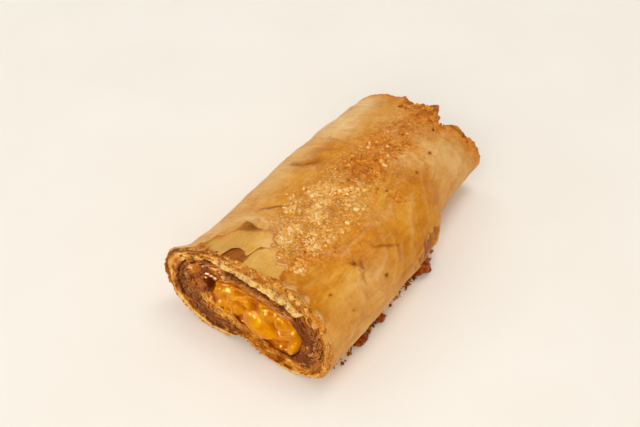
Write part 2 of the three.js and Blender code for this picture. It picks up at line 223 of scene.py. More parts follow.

# Laps: edges of sheets that overlap on the skin, as (height, reach of the raised side, tint, points).
# The points are (degrees, y), and the raised side is on the left going along them.
# A tint above 0 paints a pale highlight beside the raised side, and one below 0 paints the shadow under the
# step.
LAPS = (
    (1.3, 5.0, -1.0, ((112, 7.0), (116, 4.5), (119.5, 2.5), (124, 1.0), (129, 0.9), (133, 1.6))),
    (0.55, 4.0, -0.9, ((119, -33), (116, -31.5), (110, -28.5), (104, -26.6), (99, -25.4))),
    (0.7, 6.0, 0.2, ((57, -28), (54, -30.5), (50, -32.4), (45, -34), (37, -37), (31, -39), (24, -40))),
    (0.3, 6.0, 0.26, ((44, -44), (36, -36), (33, -28), (37, -21), (43, -17), (52, -14))),
    (0.3, 7.0, 0.26, ((6, -33), (12, -26), (18, -22), (28, -17), (38, -13), (45, -12))),
    (0.35, 7.0, 0.26, ((14, -9), (24, -6), (33, -2), (42, 2), (48, 9), (52, 17))),
    (0.2, 4.0, -0.75, ((48, -22.4), (43, -19.5), (37.5, -15.5), (31.5, -11.5))),
    (0.35, 6.0, 0.2, ((22, 10), (32, 12), (42, 16), (50, 23), (55, 31))),
    (0.35, 4.0, -0.4, ((127, 22), (121, 20.6), (114, 21), (108, 23))),
    (0.3, 4.0, -0.35, ((131, 30), (124, 28), (117, 28.6), (110, 31))),
    (0.3, 4.0, -0.35, ((128, 14), (120, 12.4), (112, 14), (106, 18.4))),
    (0.5, 5.0, 0.2, ((38, 22), (46, 34), (54, 44), (60, 54), (64, 62))),
    (0.3, 6.0, 0.2, ((70, -40), (62, -33), (58, -24), (60, -15), (66, -8))),
    (0.3, 7.0, 0.2, ((166, -30), (158, -22), (152, -12), (150, 0), (153, 12))),
    (0.3, 7.0, 0.2, ((172, 10), (162, 18), (154, 28), (148, 40))),
    (0.4, 5.0, 0.3, ((-12, -10), (0, -6), (8, 2), (12, 12), (10, 24))),
    (0.4, 3.0, -0.9, ((66, 61.5), (63, 63.6), (55, 64.2), (47.5, 64.4), (40.5, 64.0))),
    (0.5, 3.0, -0.9, ((48, -30.6), (45, -32.4), (42.5, -33), (40, -32.2))),
    (0.3, 3.0, -0.6, ((41.5, -33.4), (38, -35.2), (35, -36), (31.5, -36.2))),
)

# A lap's step, waver, light line and shadow: half widths, how far the line and the shadow are from the step,
# and the tint from which the shadow is the deep one.
LAP_STEP = 0.4
LAP_WAVER = 0.5
LIGHT_OFFSET = 0.7
LIGHT_WIDTH = 0.8
SHADOW_OFFSET = 0.8
SOFT_SHADOW = 0.55
DEEP_SHADOW = 0.85
DEEP_TINT = -0.8

# Short laps scattered over the skin: how many, and the ranges that each is drawn from.
SMALL_LAPS = 90
SMALL_LAP_DEGREES = (-5, 165)
SMALL_LAP_Y = (-52, 58)
SMALL_LAP_HALF = (2, 6)
SMALL_LAP_BEND = (0.2, 0.7)
# Tints of the short laps: below 0 a painted shadow under the step, above 0 a painted highlight beside it.
SMALL_LAP_LIGHT_AND_SHADE = (-0.22, -0.12, 0.28)
SMALL_LAP_RISE = (0.15, 0.45)
SMALL_LAP_REACH = (2, 5)
SMALL_LAP_STATIONS = (-1, -0.4, 0.4, 1)
# Degrees round the roll to a millimetre of skin, near enough.
DEGREES_PER_MM = 1.5

# Small burnt pits in the skin: (degrees, y, radius).
PITS = (
    (24.5, -25, 0.8), (48.5, -34, 1.1), (53, 38, 0.8), (46, -51, 0.6), (53.5, 24, 0.7), (63.5, 5, 0.5),
    (25, -47, 0.4), (74, -42, 0.7), (70, -32, 0.6), (104, -13, 0.5), (116, -22, 0.4), (47.5, 64.5, 0.8),
    (40.5, 64.2, 0.7),
)
PIT_DEPTH = 0.4

# Toasted places on the skin: (x, y, half width, half length, strength).
TOASTED = (
    (3, -18, 13, 34, 0.2), (2, 10, 8, 6, 1.3), (6, 12, 5, 4, 0.8), (1, 34, 9, 20, 0.75), (5, 58, 10, 7, 0.9),
    (12, -46, 5, 5, 0.7), (9, -37, 6, 4, 0.35), (16, -40, 4, 3, 0.45), (4, -20, 5, 4, 0.3),
    (20, -33, 5, 4, 0.3), (-12, 22, 5, 4, 0.35), (22, 5, 2.6, 2.2, 1.2), (28, -24, 8, 10, 0.15),
    (-3, 28, 5, 4, 0.45), (13, 33, 4, 5, 0.5), (24, 63, 8, 4, 0.3), (23, -20, 9, 26, 0.3),
    (26, 18, 9, 12, 0.3), (24, 50, 9, 12, 0.1),
)
# Places where the second sheet shows pale through the first.
PALE = (
    (12, 26, 5, 6, 0.9), (-20, 29, 7, 6, 0.9), (10, -8, 4, 5, 0.4), (-8, -36, 8, 5, 0.35),
    (-14, -38.5, 7, 3.5, 0.9), (33, -30, 5, 12, 0.3), (14, 40, 5, 4, 0.4), (4, 2, 4, 3, 0.5),
    (22, -8, 6, 6, 0.2), (24, 48, 9, 14, 0.6), (0, 46, 14, 16, 0.25), (20, 36, 6, 8, 0.25),
    (-24, 44, 8, 14, 0.9),
)

# Bake near the torn end: where along the roll it is toasted and burnt, the x past which it is less toasted,
# and the middle and half width of the burnt place.
TEAR_TOASTED_Y = (FAR - 8, FAR + 1)
TEAR_BURNT_Y = (FAR - 9, FAR + 1)
LESS_TOASTED_X = (11, 15)
TEAR_BURNT_X = 3
TEAR_BURNT_WIDTH = 8
# Paler skin on the left, low down and on the right, partly lighter bake and partly painted sheen and
# painted reflection of the pale table at grazing angles: its share, and where it begins and is full.
PALE_LEFT = (0.65, 14, 28)
PALE_LOW = (0.6, 4, 20)
PALE_RIGHT = (0.2, 26, 36)
PALE_RIGHT_Y = (-40, -15)

# A spread is (low, high, power): the higher the power, the more of the values drawn from it are low.
# Sugar on the crown: where it lies, how many grains, how large they and their clusters are,
# and how deep a grain sits, as a share of its size.
SUGAR_MIDDLE_X = 2.5
SUGAR_HALF_WIDTH = 12.0
SUGAR_FROM = -52.0
SUGAR_TO = 42.0
SUGAR_GRAINS = 1050
SUGAR_SIZES = (0.65, 2.1, 2.0)
SUGAR_STRETCH = (0.7, 1.2)
SUGAR_DEGREES = 88
SUGAR_SPREAD_DEGREES = 26
SUGAR_CLUSTER = 7.0
SUGAR_SINK = 0.27
# Its run along the roll and the slant of its middle (degrees to a millimetre, y without slant).
SUGAR_RUN = (SUGAR_FROM, SUGAR_TO, 1.7)
SUGAR_SLANT = (0.1, -25)
# The usual share of places that have a grain and how much that varies, where it thins out and by how much,
# and how far it stays off the skin's edge, with more at the blister.
SUGAR_CROWD = (0.35, 1.8)
SUGAR_THINS_OVER = (-12.0, 5.0)
SUGAR_THINNED = 0.965
SUGAR_OFF_EDGE = 1.5
SUGAR_OFF_BLISTER = 4
SUGAR_BLISTER_SPREAD = 6

# Crumb layer: angles and shares of the wall that it fills.
CRUMB_FROM = math.radians(38)
CRUMB_TO = math.radians(128)
CRUMB_OUTER = 0.3
CRUMB_INNER = 0.68
# How square its outline is, how far its face stands back, how far it comes forward where it is thick (from
# one x to another), how coarse it is, and how far its right end stands back (from one degree to another).
CRUMB_POWER = 6
CRUMB_RECESS = 1.0
CRUMB_THICK = 0.9
CRUMB_THICK_X = (-16, 2)
CRUMB_COARSENESS = 0.8
CRUMB_END_RECESS = 3.5
CRUMB_END_DEGREES = (42, 54)

# Fruit pieces in the cut: (x, z, half width, half height, how far it stands out, smoothness, tilt degrees).
FRUIT_PIECES = (
    (-14.2, 19.2, 3.6, 3.4, 2.6, 0.3, 0), (-8.4, 21.2, 4.6, 3.0, 2.8, 0.35, -8),
    (-12.2, 14.8, 3.6, 2.6, 2.4, 0.3, 0), (-6.2, 15.8, 4.2, 3.2, 2.8, 0.6, -12),
    (-2.2, 20.2, 4.0, 3.0, 1.8, 0.5, 0), (5.2, 13.8, 8.4, 5.4, 4.2, 1.0, -14),
    (8.6, 19.4, 4.0, 3.0, 2.2, 0.6, -10), (16.0, 19.0, 5.2, 3.6, 2.6, 0.5, -6),
    (20.4, 16.6, 4.2, 3.4, 2.4, 0.5, 0), (15.4, 13.6, 3.6, 3.0, 2.4, 0.5, 0),
    (22.0, 11.4, 3.4, 3.9, 3.6, 0.95, 0),
)
# Small bits among them: how many, the ranges that each is drawn from, and the slope of the tunnel.
FRUIT_BITS = 10
FRUIT_BIT_X = (-14, 23)
FRUIT_BIT_OFF = (-9, 9)
FRUIT_BIT_HALF = (0.8, 2.0)
FRUIT_BIT_FLATNESS = (0.6, 1.1)
FRUIT_BIT_BULGE = (1.2, 2.6)
FRUIT_BIT_SMOOTHNESS = 0.2
TUNNEL_SLOPE = -0.16
# How far the jelly lies behind the cut, and the air gap at its left end, dented in and painted dark as shade:
# x, z, half width, half height, depth.
JELLY_RECESS = 1.4
AIR_GAP = (-17.6, 20.8, 1.8, 3.6, 4.0)
# Distances past the lip over which fruit and juice rise, the height of the juice and how much more it has
# near the lip, how far smooth fruit loses its lumps, and the lumps of the far face (height, size).
FRUIT_RISES = (-0.5, 1.5)
JUICE_RISES = (-0.2, 0.6)
JUICE_HEIGHT = 0.6
JUICE_MORE = 0.4
JUICE_MORE_TO = (1, 3)
SMOOTHED = 0.85
FAR_LUMPS = (2.0, 6.0)

# Leaked syrup: (y, half width, half length, half height, distance out from the foot).
SYRUP_DROPS = ((7.0, 3.8, 5.2, 3.4, 2.0), (-26, 1.6, 2.0, 1.8, 2.8), (-40, 1.8, 3.2, 1.8, 3.0))
SYRUP_ANGLE = math.radians(-40)
SYRUP_DIVISIONS = 5

# Loose scraps of sheet: (degrees, y, half width, half length, height, curl, toast).
SCRAPS = (
    (126.5, -58.6, 2.2, 1.6, 1.2, 1.3, 0.9), (122, -59.6, 1.6, 1.2, 0.9, 0.8, 0.8),
    (60.5, -58.3, 2.0, 1.5, 0.8, 0.9, 0.2), (50, -59.6, 2.2, 1.4, 0.7, 0.7, 0.1),
    (73.5, -56.5, 1.2, 2.4, 0.5, 0.5, 0.1), (105.5, 61.5, 1.6, 1.6, 0.2, 0.5, 0.9),
    (93, 61, 1.6, 1.6, 0.2, 0.6, 0.9), (84, 62.4, 2.0, 1.6, 0.2, 0.5, 1.0),
    (158, -61.6, 2.6, 2.4, 0.3, 0.4, 0.3),
)
SCRAP_THICKNESS = 0.2
# Small flakes at the rim of the cut: how many, where, and the ranges of their half sizes, turn and tilt.
# Most are anywhere on the rim, and the others hang as a fringe on its left.
# The left, the fringe and the burnt flakes are (middle, spread) in degrees.
# Their shares of the wall are a spread, and the fringe hangs out by a share of it.
RIM_FLAKES = 240
RIM_DEGREES = (-35, 215)
RIM_SHARE = 0.7
LEFT_DEGREES = (166, 15)
FRINGE_DEGREES = (172, 24)
BURNT_DEGREES = (146, 16)
FLAKE_SHARES = (0.02, 0.3, 1.5)
FRINGE_OVERHANG = 0.03
FLAKE_HALF_WIDTH = (0.6, 2.0)
FLAKE_HALF_LENGTH = (0.4, 1.1)
FLAKE_TURN = (-0.4, 0.4)
FLAKE_TILT = (-0.3, 0.3)
SCRAP_TILT = (-0.2, 0.2)
# Crumbs and bits of caramel: how many of each kind, and the ranges of their three sizes.
LOOSE_CRUMBS = 280
RIM_CRUMBS = 900
RIM_CRUMB_SIZES = ((0.9, 1.7), (0.7, 1.1), (0.4, 0.8))
CARAMEL_BITS = 520
CARAMEL_SIZES = ((0.8, 1.4), (0.7, 1.1), (0.4, 0.7))
# How deep caramel sits, as a share of its size, and a burnt speck, in millimetres.
CARAMEL_SINK = 0.14
SPECK_SINK = 0.35
# Caramel on the crown: its range along the roll, its middle line as (y, x), how far it strays from that,
# the degrees to a millimetre there, its share everywhere and its heaps as (y, spread, share).
CARAMEL_Y = (-10, 62)
CARAMEL_LINE = ((-10, 6), (12, 1), (40, 3), (62, 4))
CARAMEL_STRAY = 4.5
CROWN_DEGREES_PER_MM = 1.9
CARAMEL_EVERYWHERE = 0.2
CARAMEL_HEAPS = ((10, 7, 1.2), (32, 14, 0.4), (59, 6, 0.9))
# The spread of its sizes and the share of it that is burnt, and how much is added to both near the torn end.
CARAMEL_SPREAD = (0.7, 2.7, 2)
CARAMEL_BURNT = 0.1
CARAMEL_TEAR_Y = (50, 58)
CARAMEL_TEAR_SIZE = 0.6
CARAMEL_TEAR_BURNT = 0.45
# Rim crumbs: the spreads of their size and depth, how far they stray from the cut,
# how far and to what depth those over the top stand back, and the burnt corner (middle, spread) in degrees.
RIM_CRUMB_SPREAD = (0.5, 1.6, 1.8)
RIM_DEPTH = (0, 2.4, 1.4)
RIM_TOP_DEPTH = 1.2
RIM_CORNER_DEPTH = 2.5
RIM_STRAY = (-0.3, 0.6)
RIM_SETBACK = 1.2
RIM_SETBACK_DEPTH = 2.5
BURNT_CORNER = (148, 14)
# Shares as (all round, more over the top, more at the burnt corner): of places that have a crumb,
# of kinds below which it is burnt and of kinds above which it is cream.
RIM_CROWD = (0.3, 0.4, 0.6)
RIM_BURNT = (0.1, 0.25, 0.4)
RIM_CREAM = (0.9, -0.1, -0.1)
# Loose crumbs: their range along the roll, heaps as (middle, spread) and clusters, the spread of their sizes,
# how far out they lie, how high some stick, and the height of a settled one's middle as a share of its size.
LOOSE_Y = (-58, 12)
LOOSE_HEAPS = ((-33, 9), (6, 5))
LOOSE_CLUSTER = 5.0
LOOSE_SPREAD = (0.35, 1.35, 2)
LOOSE_STRETCH = (0.7, 1.4)
LOOSE_OFF = 0.6
LOOSE_REACH = 2.6
LOOSE_HEIGHT = 1.2
LOOSE_SETTLED = 0.3
# Tones that rim crumbs are drawn from.
BURNT_TONES = (0.0, 0.25)
GOLDEN_TONES = (0.4, 0.65)
CREAM_TONES = (0.75, 0.95)

# Layers of noise, each (height, size of its features, seed).
SOFT_LUMPS = ((0.45, 15.0, 1), (0.2, 5.0, 2))
SUGAR_CRUST = ((0.25, 2.4, 4), (0.2, 1.1, 5))
HOLE_RAGGED = ((0.35, 4.0, 7), (0.2, 1.5, 8))
BAND_WAVER = ((0.09, 5.0, 49), (0.05, 1.8, 50))
SOAKED_MOTTLE = ((0.6, 5.0, 56), (0.25, 1.6, 57))
SOAKED_LUMPS = ((0.9, 4.5, 58), (0.4, 1.8, 59))
FRUIT_LUMPS = ((2.8, 3.8, 62), (0.55, 1.7, 63))
FRUIT_LUMPS_MIDDLE = 0.8
CRUMB_GRAIN = ((1.2, 2.2, 71), (0.8, 1.0, 72), (0.4, 0.5, 73))
# Layers of noise round the roll, each (height, how busy, seed).
SHEET_RIPPLE = ((0.5, 9, 46), (0.35, 22, 42))
SHEET_RAGGED = ((0.8, 13, 43), (0.7, 40, 44))
TORN_RAGGED = ((1.4, 9, 51), (0.9, 30, 52))
SKIN_RAGGED = ((0.9, 12, 54), (0.8, 40, 55))
# How far apart the seeds lie in the noise.
SEED_STEP = 17.3
# Shortest length that anything is divided by.
TINY = 1e-6

# Camera fitted to the photograph.
CAMERA_AZIMUTH = math.radians(34.4)
CAMERA_ELEVATION = math.radians(42.0)
CAMERA_DISTANCE = 0.476
CAMERA_TARGET = Vector((-9.74, -1.95, 15.0)) * MM
CAMERA_LENS = 40.0
CAMERA_SENSOR = 22.3

# Light: strength all round, lamps that light everything and lamps seen only in wet and glossy places,
# each lamp as (name, place, size, watts).
WORLD_STRENGTH = 0.5
LAMPS = (
    ("softbox_top", (0.1, 0.45, 1.45), 0.7, 5.5),
    ("softbox_left", (-0.95, 0.3, 1.1), 0.8, 2.0),
    ("softbox_front", (0.5, -1.1, 0.95), 0.9, 9.5),
)
GLINTS = (
    ("glint_left", (-0.72, -0.8, 0.54), 0.2, 56.0),
    ("glint_front", (-0.2, -0.95, 0.75), 0.12, 24.0),
    ("glint_top", (-0.5, -0.5, 1.0), 0.2, 18.0),
)

# Settings of a Mix node that mixes colours, and the output that gives the colour.
COLOUR_MIX = {"data_type": "RGBA", "clamp_factor": True, "output": 2}


# Shape helpers


def smoothstep(value, low, high):
    """0 up to low, 1 from high on and a smooth rise between them."""
    t = np.clip((value - low) / (high - low), 0, 1)
    return t * t * (3 - 2 * t)


def hump(t):
    """1 in the middle, falling away smoothly over about one unit."""
    return np.exp(-t * t)


def through(stations, y):
    """Smooth curve through (share of the length, value) stations."""
    share = (y - NEAR) / LENGTH
    value = np.full_like(share, stations[0][1])
    for (start, from_value), (end, to_value) in zip(stations, stations[1:]):
        rise = (to_value - from_value) * smoothstep(share, start, end)
        value = np.where(share > start, from_value + rise, value)
    return value


def perlin(points, size, seed):
    """Smooth seeded noise, from about -1 to 1, with features of that size."""
    shifted = np.asarray(points, float).reshape(-1, 3) / size + SEED_STEP * seed
    values = [noise.noise(place) for place in shifted.tolist()]
    return np.array(values).reshape(np.shape(points)[:-1])


def layered(points, layers):
    """Sum of layers of noise, each (height, size of its features, seed)."""
    return sum(height * perlin(points, size, seed) for height, size, seed in layers)


def round_noise(angle, turns, along, seed):
    """Noise that closes on itself round the roll: turns is how busy it is, along a place on another axis."""
    height = np.broadcast_to(along, np.shape(angle))
    return perlin(np.stack([turns * np.cos(angle), turns * np.sin(angle), height], -1), 1.0, seed)


def round_layers(angle, along, layers):
    """Sum of layers of noise round the roll, each (height, how busy, seed)."""
    return sum(height * round_noise(angle, turns, along, seed) for height, turns, seed in layers)


def squareness(c, s, power):
    """Reach of a rounded square with a power, along the way with cosine c and sine s."""
    return (np.abs(c) ** power + np.abs(s) ** power) ** (-1 / power)


def skin_point(angle, y):
    """Outside of the roll at an angle (0 is right, a quarter turn is up) and a place along its length."""
    angle, y = np.broadcast_arrays(np.asarray(angle, float), np.asarray(y, float))
    c = np.cos(angle)
    s = np.sin(angle)
    base_power = np.where(c > 0, BASE_POWER_RIGHT, BASE_POWER_LEFT)
    reach = squareness(c, s, np.where(s > 0, TOP_POWER, base_power))
    crown = HEIGHT * through(CROWN_SHARES, y)
    waist = WAIST_SHARE * crown
    x = WIDTH * np.where(c > 0, through(RIGHT_SHARES, y), through(LEFT_SHARES, y)) * c * reach
    z = waist + np.where(s > 0, crown - waist, waist + BASE_SINK) * s * reach

    near_tear = smoothstep(y, FAR - STEP_REACH, FAR)
    on_lobe = smoothstep(x, STEP_X - STEP_WIDTH, STEP_X + STEP_WIDTH)
    z = z - LOBE_DROP * crown * near_tear * on_lobe * smoothstep(z, waist / 2, crown)
    arch = hump((x - ARCH_X) / ARCH_WIDTH) * smoothstep(NEAR + ARCH_REACH - y, 0, ARCH_REACH)
    foot = 1 - smoothstep(z, 0, waist)
    z = z + foot * (np.maximum(z, 0) + ARCH_HEIGHT * arch - z)
    lifted = smoothstep(y, FAR - LOBE_LIFT_REACH, FAR - LOBE_LIFT_REACH / 2) * smoothstep(x, *LOBE_LIFT_X)
    z = z + LOBE_LIFT * lifted * (1 - smoothstep(z, 0, waist))

    bulge = hump((y - FOLD_Y) / FOLD_LENGTH) * hump((z - FOLD_HEIGHT / 2) / FOLD_HEIGHT)
    x = x + FOLD_BULGE * bulge * np.maximum(c, 0)
    towards_flare = np.maximum(np.cos(angle - FLARE_ANGLE), 0) ** FLARE_SHARPNESS
    flare = FLARE * smoothstep(NEAR + FLARE_REACH - y, 0, FLARE_REACH) * towards_flare
    return np.stack([x + flare * c, y, np.maximum(z + flare * s, 0)], -1)


def tunnel_point(angle, y, inset=0.0):
    """Wall of the tunnel at the same angle, moved in by an inset."""
    angle, y = np.broadcast_arrays(np.asarray(angle, float), np.asarray(y, float))
    c = np.cos(angle)
    s = np.sin(angle)
    share = 1 + (TUNNEL_FAR_SHARE - 1) * np.clip((y - NEAR) / LENGTH, 0, 1)
    reach = squareness(c, s, TUNNEL_POWER)
    across = (TUNNEL_HALF_WIDTH * share - inset) * c * reach
    up = (TUNNEL_HALF_HEIGHT * share - inset) * s * reach
    x = TUNNEL_X + across * math.cos(TUNNEL_TILT) - up * math.sin(TUNNEL_TILT)
    z = TUNNEL_Z + across * math.sin(TUNNEL_TILT) + up * math.cos(TUNNEL_TILT)
    return np.stack([x, y, z], -1)


def wall_point(angle, y, depth):
    """Point in the wall: depth 0 is the skin and 1 is the tunnel."""
    skin = skin_point(angle, y)
    return skin + (tunnel_point(angle, y) - skin) * np.asarray(depth)[..., None]


def cut_plane(x, z):
    """Place along the roll of the knife cut."""
    return NEAR + CUT_LEAN * (z / HEIGHT - 0.5) - CUT_SKEW * x / WIDTH


def torn_place(angle):
    """Place of the torn end: a tip, a nick and then the lobe, which is further out."""
    x = skin_point(angle, FAR)[..., 0]
    upper = smoothstep(np.sin(angle), -0.2, 0.5)
    tip = TIP_OVERRUN * hump((x - TIP_X) / TIP_WIDTH)
    nick = NICK_DEPTH * hump((x - NICK_X) / NICK_WIDTH)
    lobe = LOBE_OVERRUN * smoothstep(x, STEP_X, STEP_X + STEP_WIDTH)
    return FAR + upper * (tip - nick) + lobe - 0.5 * TEAR_RAGGED


def frame_metres(points):
    """From the roll's own axis in millimetres to the frame in metres."""
    return (points + SHIFT) * MM


def make_piece(name, bm, material, replaced=None):
    """Turns a finished bmesh into a piece of the strudel."""
    mesh = bpy.data.meshes.new(name)
    bm.to_mesh(mesh)
    bm.free()
    mesh.materials.append(material)
    mesh.shade_smooth()
    mesh.set_sharp_from_angle(angle=SHARP)
    thing = bpy.data.objects.new(name, mesh)
    bpy.context.scene.collection.objects.link(thing)
    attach(thing, "root")
    if replaced:
        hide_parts(replaced)
    return thing


def put_marks(bm, marks):
    """Stores named values, one per vertex, that the materials read."""
    for name, values in marks.items():
        layer = bm.verts.layers.float.new(name)
        for vertex, value in zip(bm.verts, values.tolist()):
            vertex[layer] = value


# Roll


def unroll(angle):
    """Distance round the skin from angle 0, measured half way along the roll."""
    steps = np.radians(np.arange(-90, 271))
    outline = skin_point(steps, 0.0)
    lengths = np.linalg.norm(np.diff(outline, axis=0), axis=-1)
    run = np.concatenate([[0], np.cumsum(lengths)])
    run -= np.interp(0, steps, run)
    wrapped = np.mod(np.asarray(angle) + math.pi / 2, 2 * math.pi) - math.pi / 2
    return np.interp(wrapped, steps, run)


def smooth_line(points, per_span=6):
    """Catmull-Rom curve through a few points."""
    padded = np.vstack([2 * points[0] - points[1], points, 2 * points[-1] - points[-2]])
    t = np.linspace(0, 1, per_span, endpoint=False)[:, None]
    line = []
    for a, b, c, d in zip(padded, padded[1:], padded[2:], padded[3:]):
        span = 2 * b + (c - a) * t + (2 * a - 5 * b + 4 * c - d) * t**2 + (3 * b - a - 3 * c + d) * t**3
        line.append(span / 2)
    return np.vstack(line + [points[-1:]])


def beside_line(places, line):
    """Signed distance of flat places from a line, and the share of the way along it of the nearest point."""
    best = np.full(len(places), np.inf)
    signed = np.zeros(len(places))
    share = np.zeros(len(places))
    spans = len(line) - 1
    for i in range(spans):
        start = line[i]
        run = line[i + 1] - start
        off = places - start
        t = np.clip(off @ run / (run @ run), 0, 1)
        across = off - t[:, None] * run
        distance = np.linalg.norm(across, axis=-1)
        side = np.sign(run[0] * off[:, 1] - run[1] * off[:, 0])
        nearer = distance < best
        best = np.where(nearer, distance, best)
        signed = np.where(nearer, side * distance, signed)
        share = np.where(nearer, (i + t) / spans, share)
    return signed, share


def small_laps():
    """Short curved edges of blisters and torn scraps, scattered over the skin, in the form of LAPS."""
    rng = np.random.default_rng(23)
    laps = []
    for _ in range(SMALL_LAPS):
        middle = np.array([rng.uniform(*SMALL_LAP_DEGREES), rng.uniform(*SMALL_LAP_Y)])
        turn = rng.uniform(0, 2 * math.pi)
        half = rng.uniform(*SMALL_LAP_HALF)
        bend = rng.uniform(*SMALL_LAP_BEND) * half
        along = np.array([math.cos(turn) * DEGREES_PER_MM, math.sin(turn)])
        aside = np.array([-math.sin(turn) * DEGREES_PER_MM, math.cos(turn)])
        points = [middle + along * half * t + aside * bend * (1 - t * t) for t in SMALL_LAP_STATIONS]
        shade = rng.choice(SMALL_LAP_LIGHT_AND_SHADE)
        laps.append((rng.uniform(*SMALL_LAP_RISE), rng.uniform(*SMALL_LAP_REACH), shade, points))
    return laps


def lap_relief(angle, y):
    """Height that the overlapping sheets give the skin, and a tint that paints shadow and highlight beside
    their steps.
    """
    flat = np.stack([unroll(angle).ravel(), y.ravel()], -1)
    waver = LAP_WAVER * perlin(np.stack([flat[:, 0], flat[:, 1], 0 * flat[:, 0]], -1), 3.0, 21)
    height = np.zeros(len(flat))
    tint = np.zeros(len(flat))
    for rise, reach, shade, points in list(LAPS) + small_laps():
        line = smooth_line(np.array([(float(unroll(math.radians(a))), place) for a, place in points]))
        margin = 4 * reach
        close = np.all((flat > line.min(axis=0) - margin) & (flat < line.max(axis=0) + margin), axis=-1)
        signed, share = beside_line(flat[close], line)
        signed = signed + waver[close]
        taper = np.sqrt(np.sin(math.pi * share))
        step = smoothstep(signed, -LAP_STEP, LAP_STEP) * np.exp(-np.maximum(signed, 0) / reach)
        height[close] += rise * taper * step
        if shade > 0:
            beside = hump((signed - LIGHT_OFFSET) / LIGHT_WIDTH)
        else:
            shadow = SOFT_SHADOW if shade > DEEP_TINT else DEEP_SHADOW
            beside = hump((signed + SHADOW_OFFSET * shadow) / shadow)
        # Painted light and shade: pale beside the raised side as a highlight, dark under the step as its
        # shadow.
        tint[close] += shade * taper * beside
    return height.reshape(y.shape), np.clip(tint, -1, 1).reshape(y.shape)


def pit_depth(angle, y):
    """1 in the middle of a burnt pit, falling to 0 round it."""
    flat = unroll(angle)
    depth = np.zeros_like(y)
    for degrees, place, radius in PITS:
        away = np.hypot(flat - float(unroll(math.radians(degrees))), y - place)
        depth = np.maximum(depth, hump(away / radius))
    return depth


def sugar_zone(points):
    """How sugary the crown is, from 0 to 1."""
    x = points[..., 0]
    y = points[..., 1]
    band = hump((x - SUGAR_MIDDLE_X) / SUGAR_HALF_WIDTH)
    run = smoothstep(y, SUGAR_FROM - 4, SUGAR_FROM + 6) * (1 - 0.5 * smoothstep(y, 0, SUGAR_TO))
    return np.minimum(1.3 * band * run, 1) * (points[..., 2] > HEIGHT / 2)


def patches(points, places):
    """Strength of rounded patches given as (x, y, half width, half length, strength), on the upper side."""
    upper = smoothstep(points[..., 2], HEIGHT * 0.3, HEIGHT * 0.5)
    total = np.zeros(points.shape[:-1])
    for x, y, half_width, half_length, strength in places:
        away = np.hypot((points[..., 0] - x) / half_width, (points[..., 1] - y) / half_length)
        total = total + strength * hump(away)
    return total * upper


def edge_over_cut(angle, corners, ragged, seed):
    """Ragged line where an outer sheet ends: flaked back over the top, at the cut on the sides and below."""
    degrees = np.degrees(angle)
    near = skin_point(angle, NEAR)
    line = np.array(corners, float)
    top = np.interp(degrees, line[:, 0], line[:, 1])
    plain = cut_plane(near[..., 0], near[..., 2]) + 0.2
    upper = smoothstep(np.sin(angle), 0.4, 0.65)
    torn = ragged * round_layers(angle, 0.5, ((1.0, 16, seed), (0.7, 45, seed + 1)))
    torn = torn * (1 - 0.9 * hump((degrees - BLISTER_DEGREES) / (1.5 * BLISTER_SPREAD)))
    return plain + (top - plain) * upper + torn * (0.6 + 0.4 * upper)


def lip(angle):
    """How far the sheets at the cut reach in past the tunnel's wall."""
    line = np.array(LIPS, float)
    return np.interp(np.mod(np.degrees(angle), 360), line[:, 0], line[:, 1])


def cut_bands(angle, share):
    """Tone of the cut sheets, and how soaked with juice and how stained by fruit they are."""
    place = wall_point(angle, NEAR, share)
    turn = np.degrees(angle) + BAND_SWAY_DEGREES * perlin(place, 6.0, 48)
    depth = share + layered(place, BAND_WAVER)
    tone = PLAIN_TONE - 0.3 * smoothstep(depth, 0.1, 0.16)
    soaked = np.zeros(np.shape(share))
    stained = np.zeros(np.shape(share))
    for start, end, top, bottom, band_tone, band_soaked, band_stained in CUT_BANDS:
        around = np.zeros(np.shape(share))
        for lap in (0, 360):
            begun = smoothstep(turn + lap, start - BAND_SOFT_DEGREES, start + BAND_SOFT_DEGREES)
            ended = smoothstep(turn + lap, end - BAND_SOFT_DEGREES, end + BAND_SOFT_DEGREES)
            around = np.maximum(around, begun * (1 - ended))
        below_top = smoothstep(depth, top - BAND_SOFT_DEPTH, top + BAND_SOFT_DEPTH)
        below_all = smoothstep(depth, bottom - BAND_SOFT_DEPTH, bottom + BAND_SOFT_DEPTH)
        inside = around * below_top * (1 - below_all)
        tone = tone + inside * (band_tone - tone)
        soaked = soaked + inside * (band_soaked - soaked)
        stained = stained + inside * (band_stained - stained)
    tone = tone + soaked * layered(place, SOAKED_MOTTLE)
    # Painted shade: inside the gap the tone falls to the darkest.
    gap = np.clip(2 * within(place[..., 0], place[..., 2], WALL_GAP), 0, 1)
    return tone * (1 - gap), soaked, stained


def ring(y, depth, lift=0.0, cut=0.0, shade=0.0, bare=0.0, toast=0.0, dark=0.0):
    """One ring of the roll's surface: its place along the roll, depth in the wall, lift and marks."""
    values = (y, depth, lift, cut, shade, bare, toast, dark)
    return np.stack([np.broadcast_to(np.asarray(value, float), (COLUMNS,)) for value in values])


def skin_lift(angle):
    """How far the skin's ragged edge curls up: most over the blister on the left of the crown."""
    lift = np.full(COLUMNS, EDGE_LIFT) * (np.sin(angle) > TOP_FROM)
    for degrees, spread, height in CURLS:
        lift = lift + height * hump((np.degrees(angle) - degrees) / spread)
    return lift


def outer_lines(angle):
    """Lines where the three outermost sheets end, each further out than the one above it."""
    first = edge_over_cut(angle, SKIN_EDGE, ragged=0.7, seed=31)
    second = np.minimum(edge_over_cut(angle, SECOND_EDGE, ragged=0.6, seed=33), first - EDGE_STEP)
    third = np.minimum(edge_over_cut(angle, THIRD_EDGE, ragged=0.7, seed=35), second - EDGE_STEP)
    return first, second, third


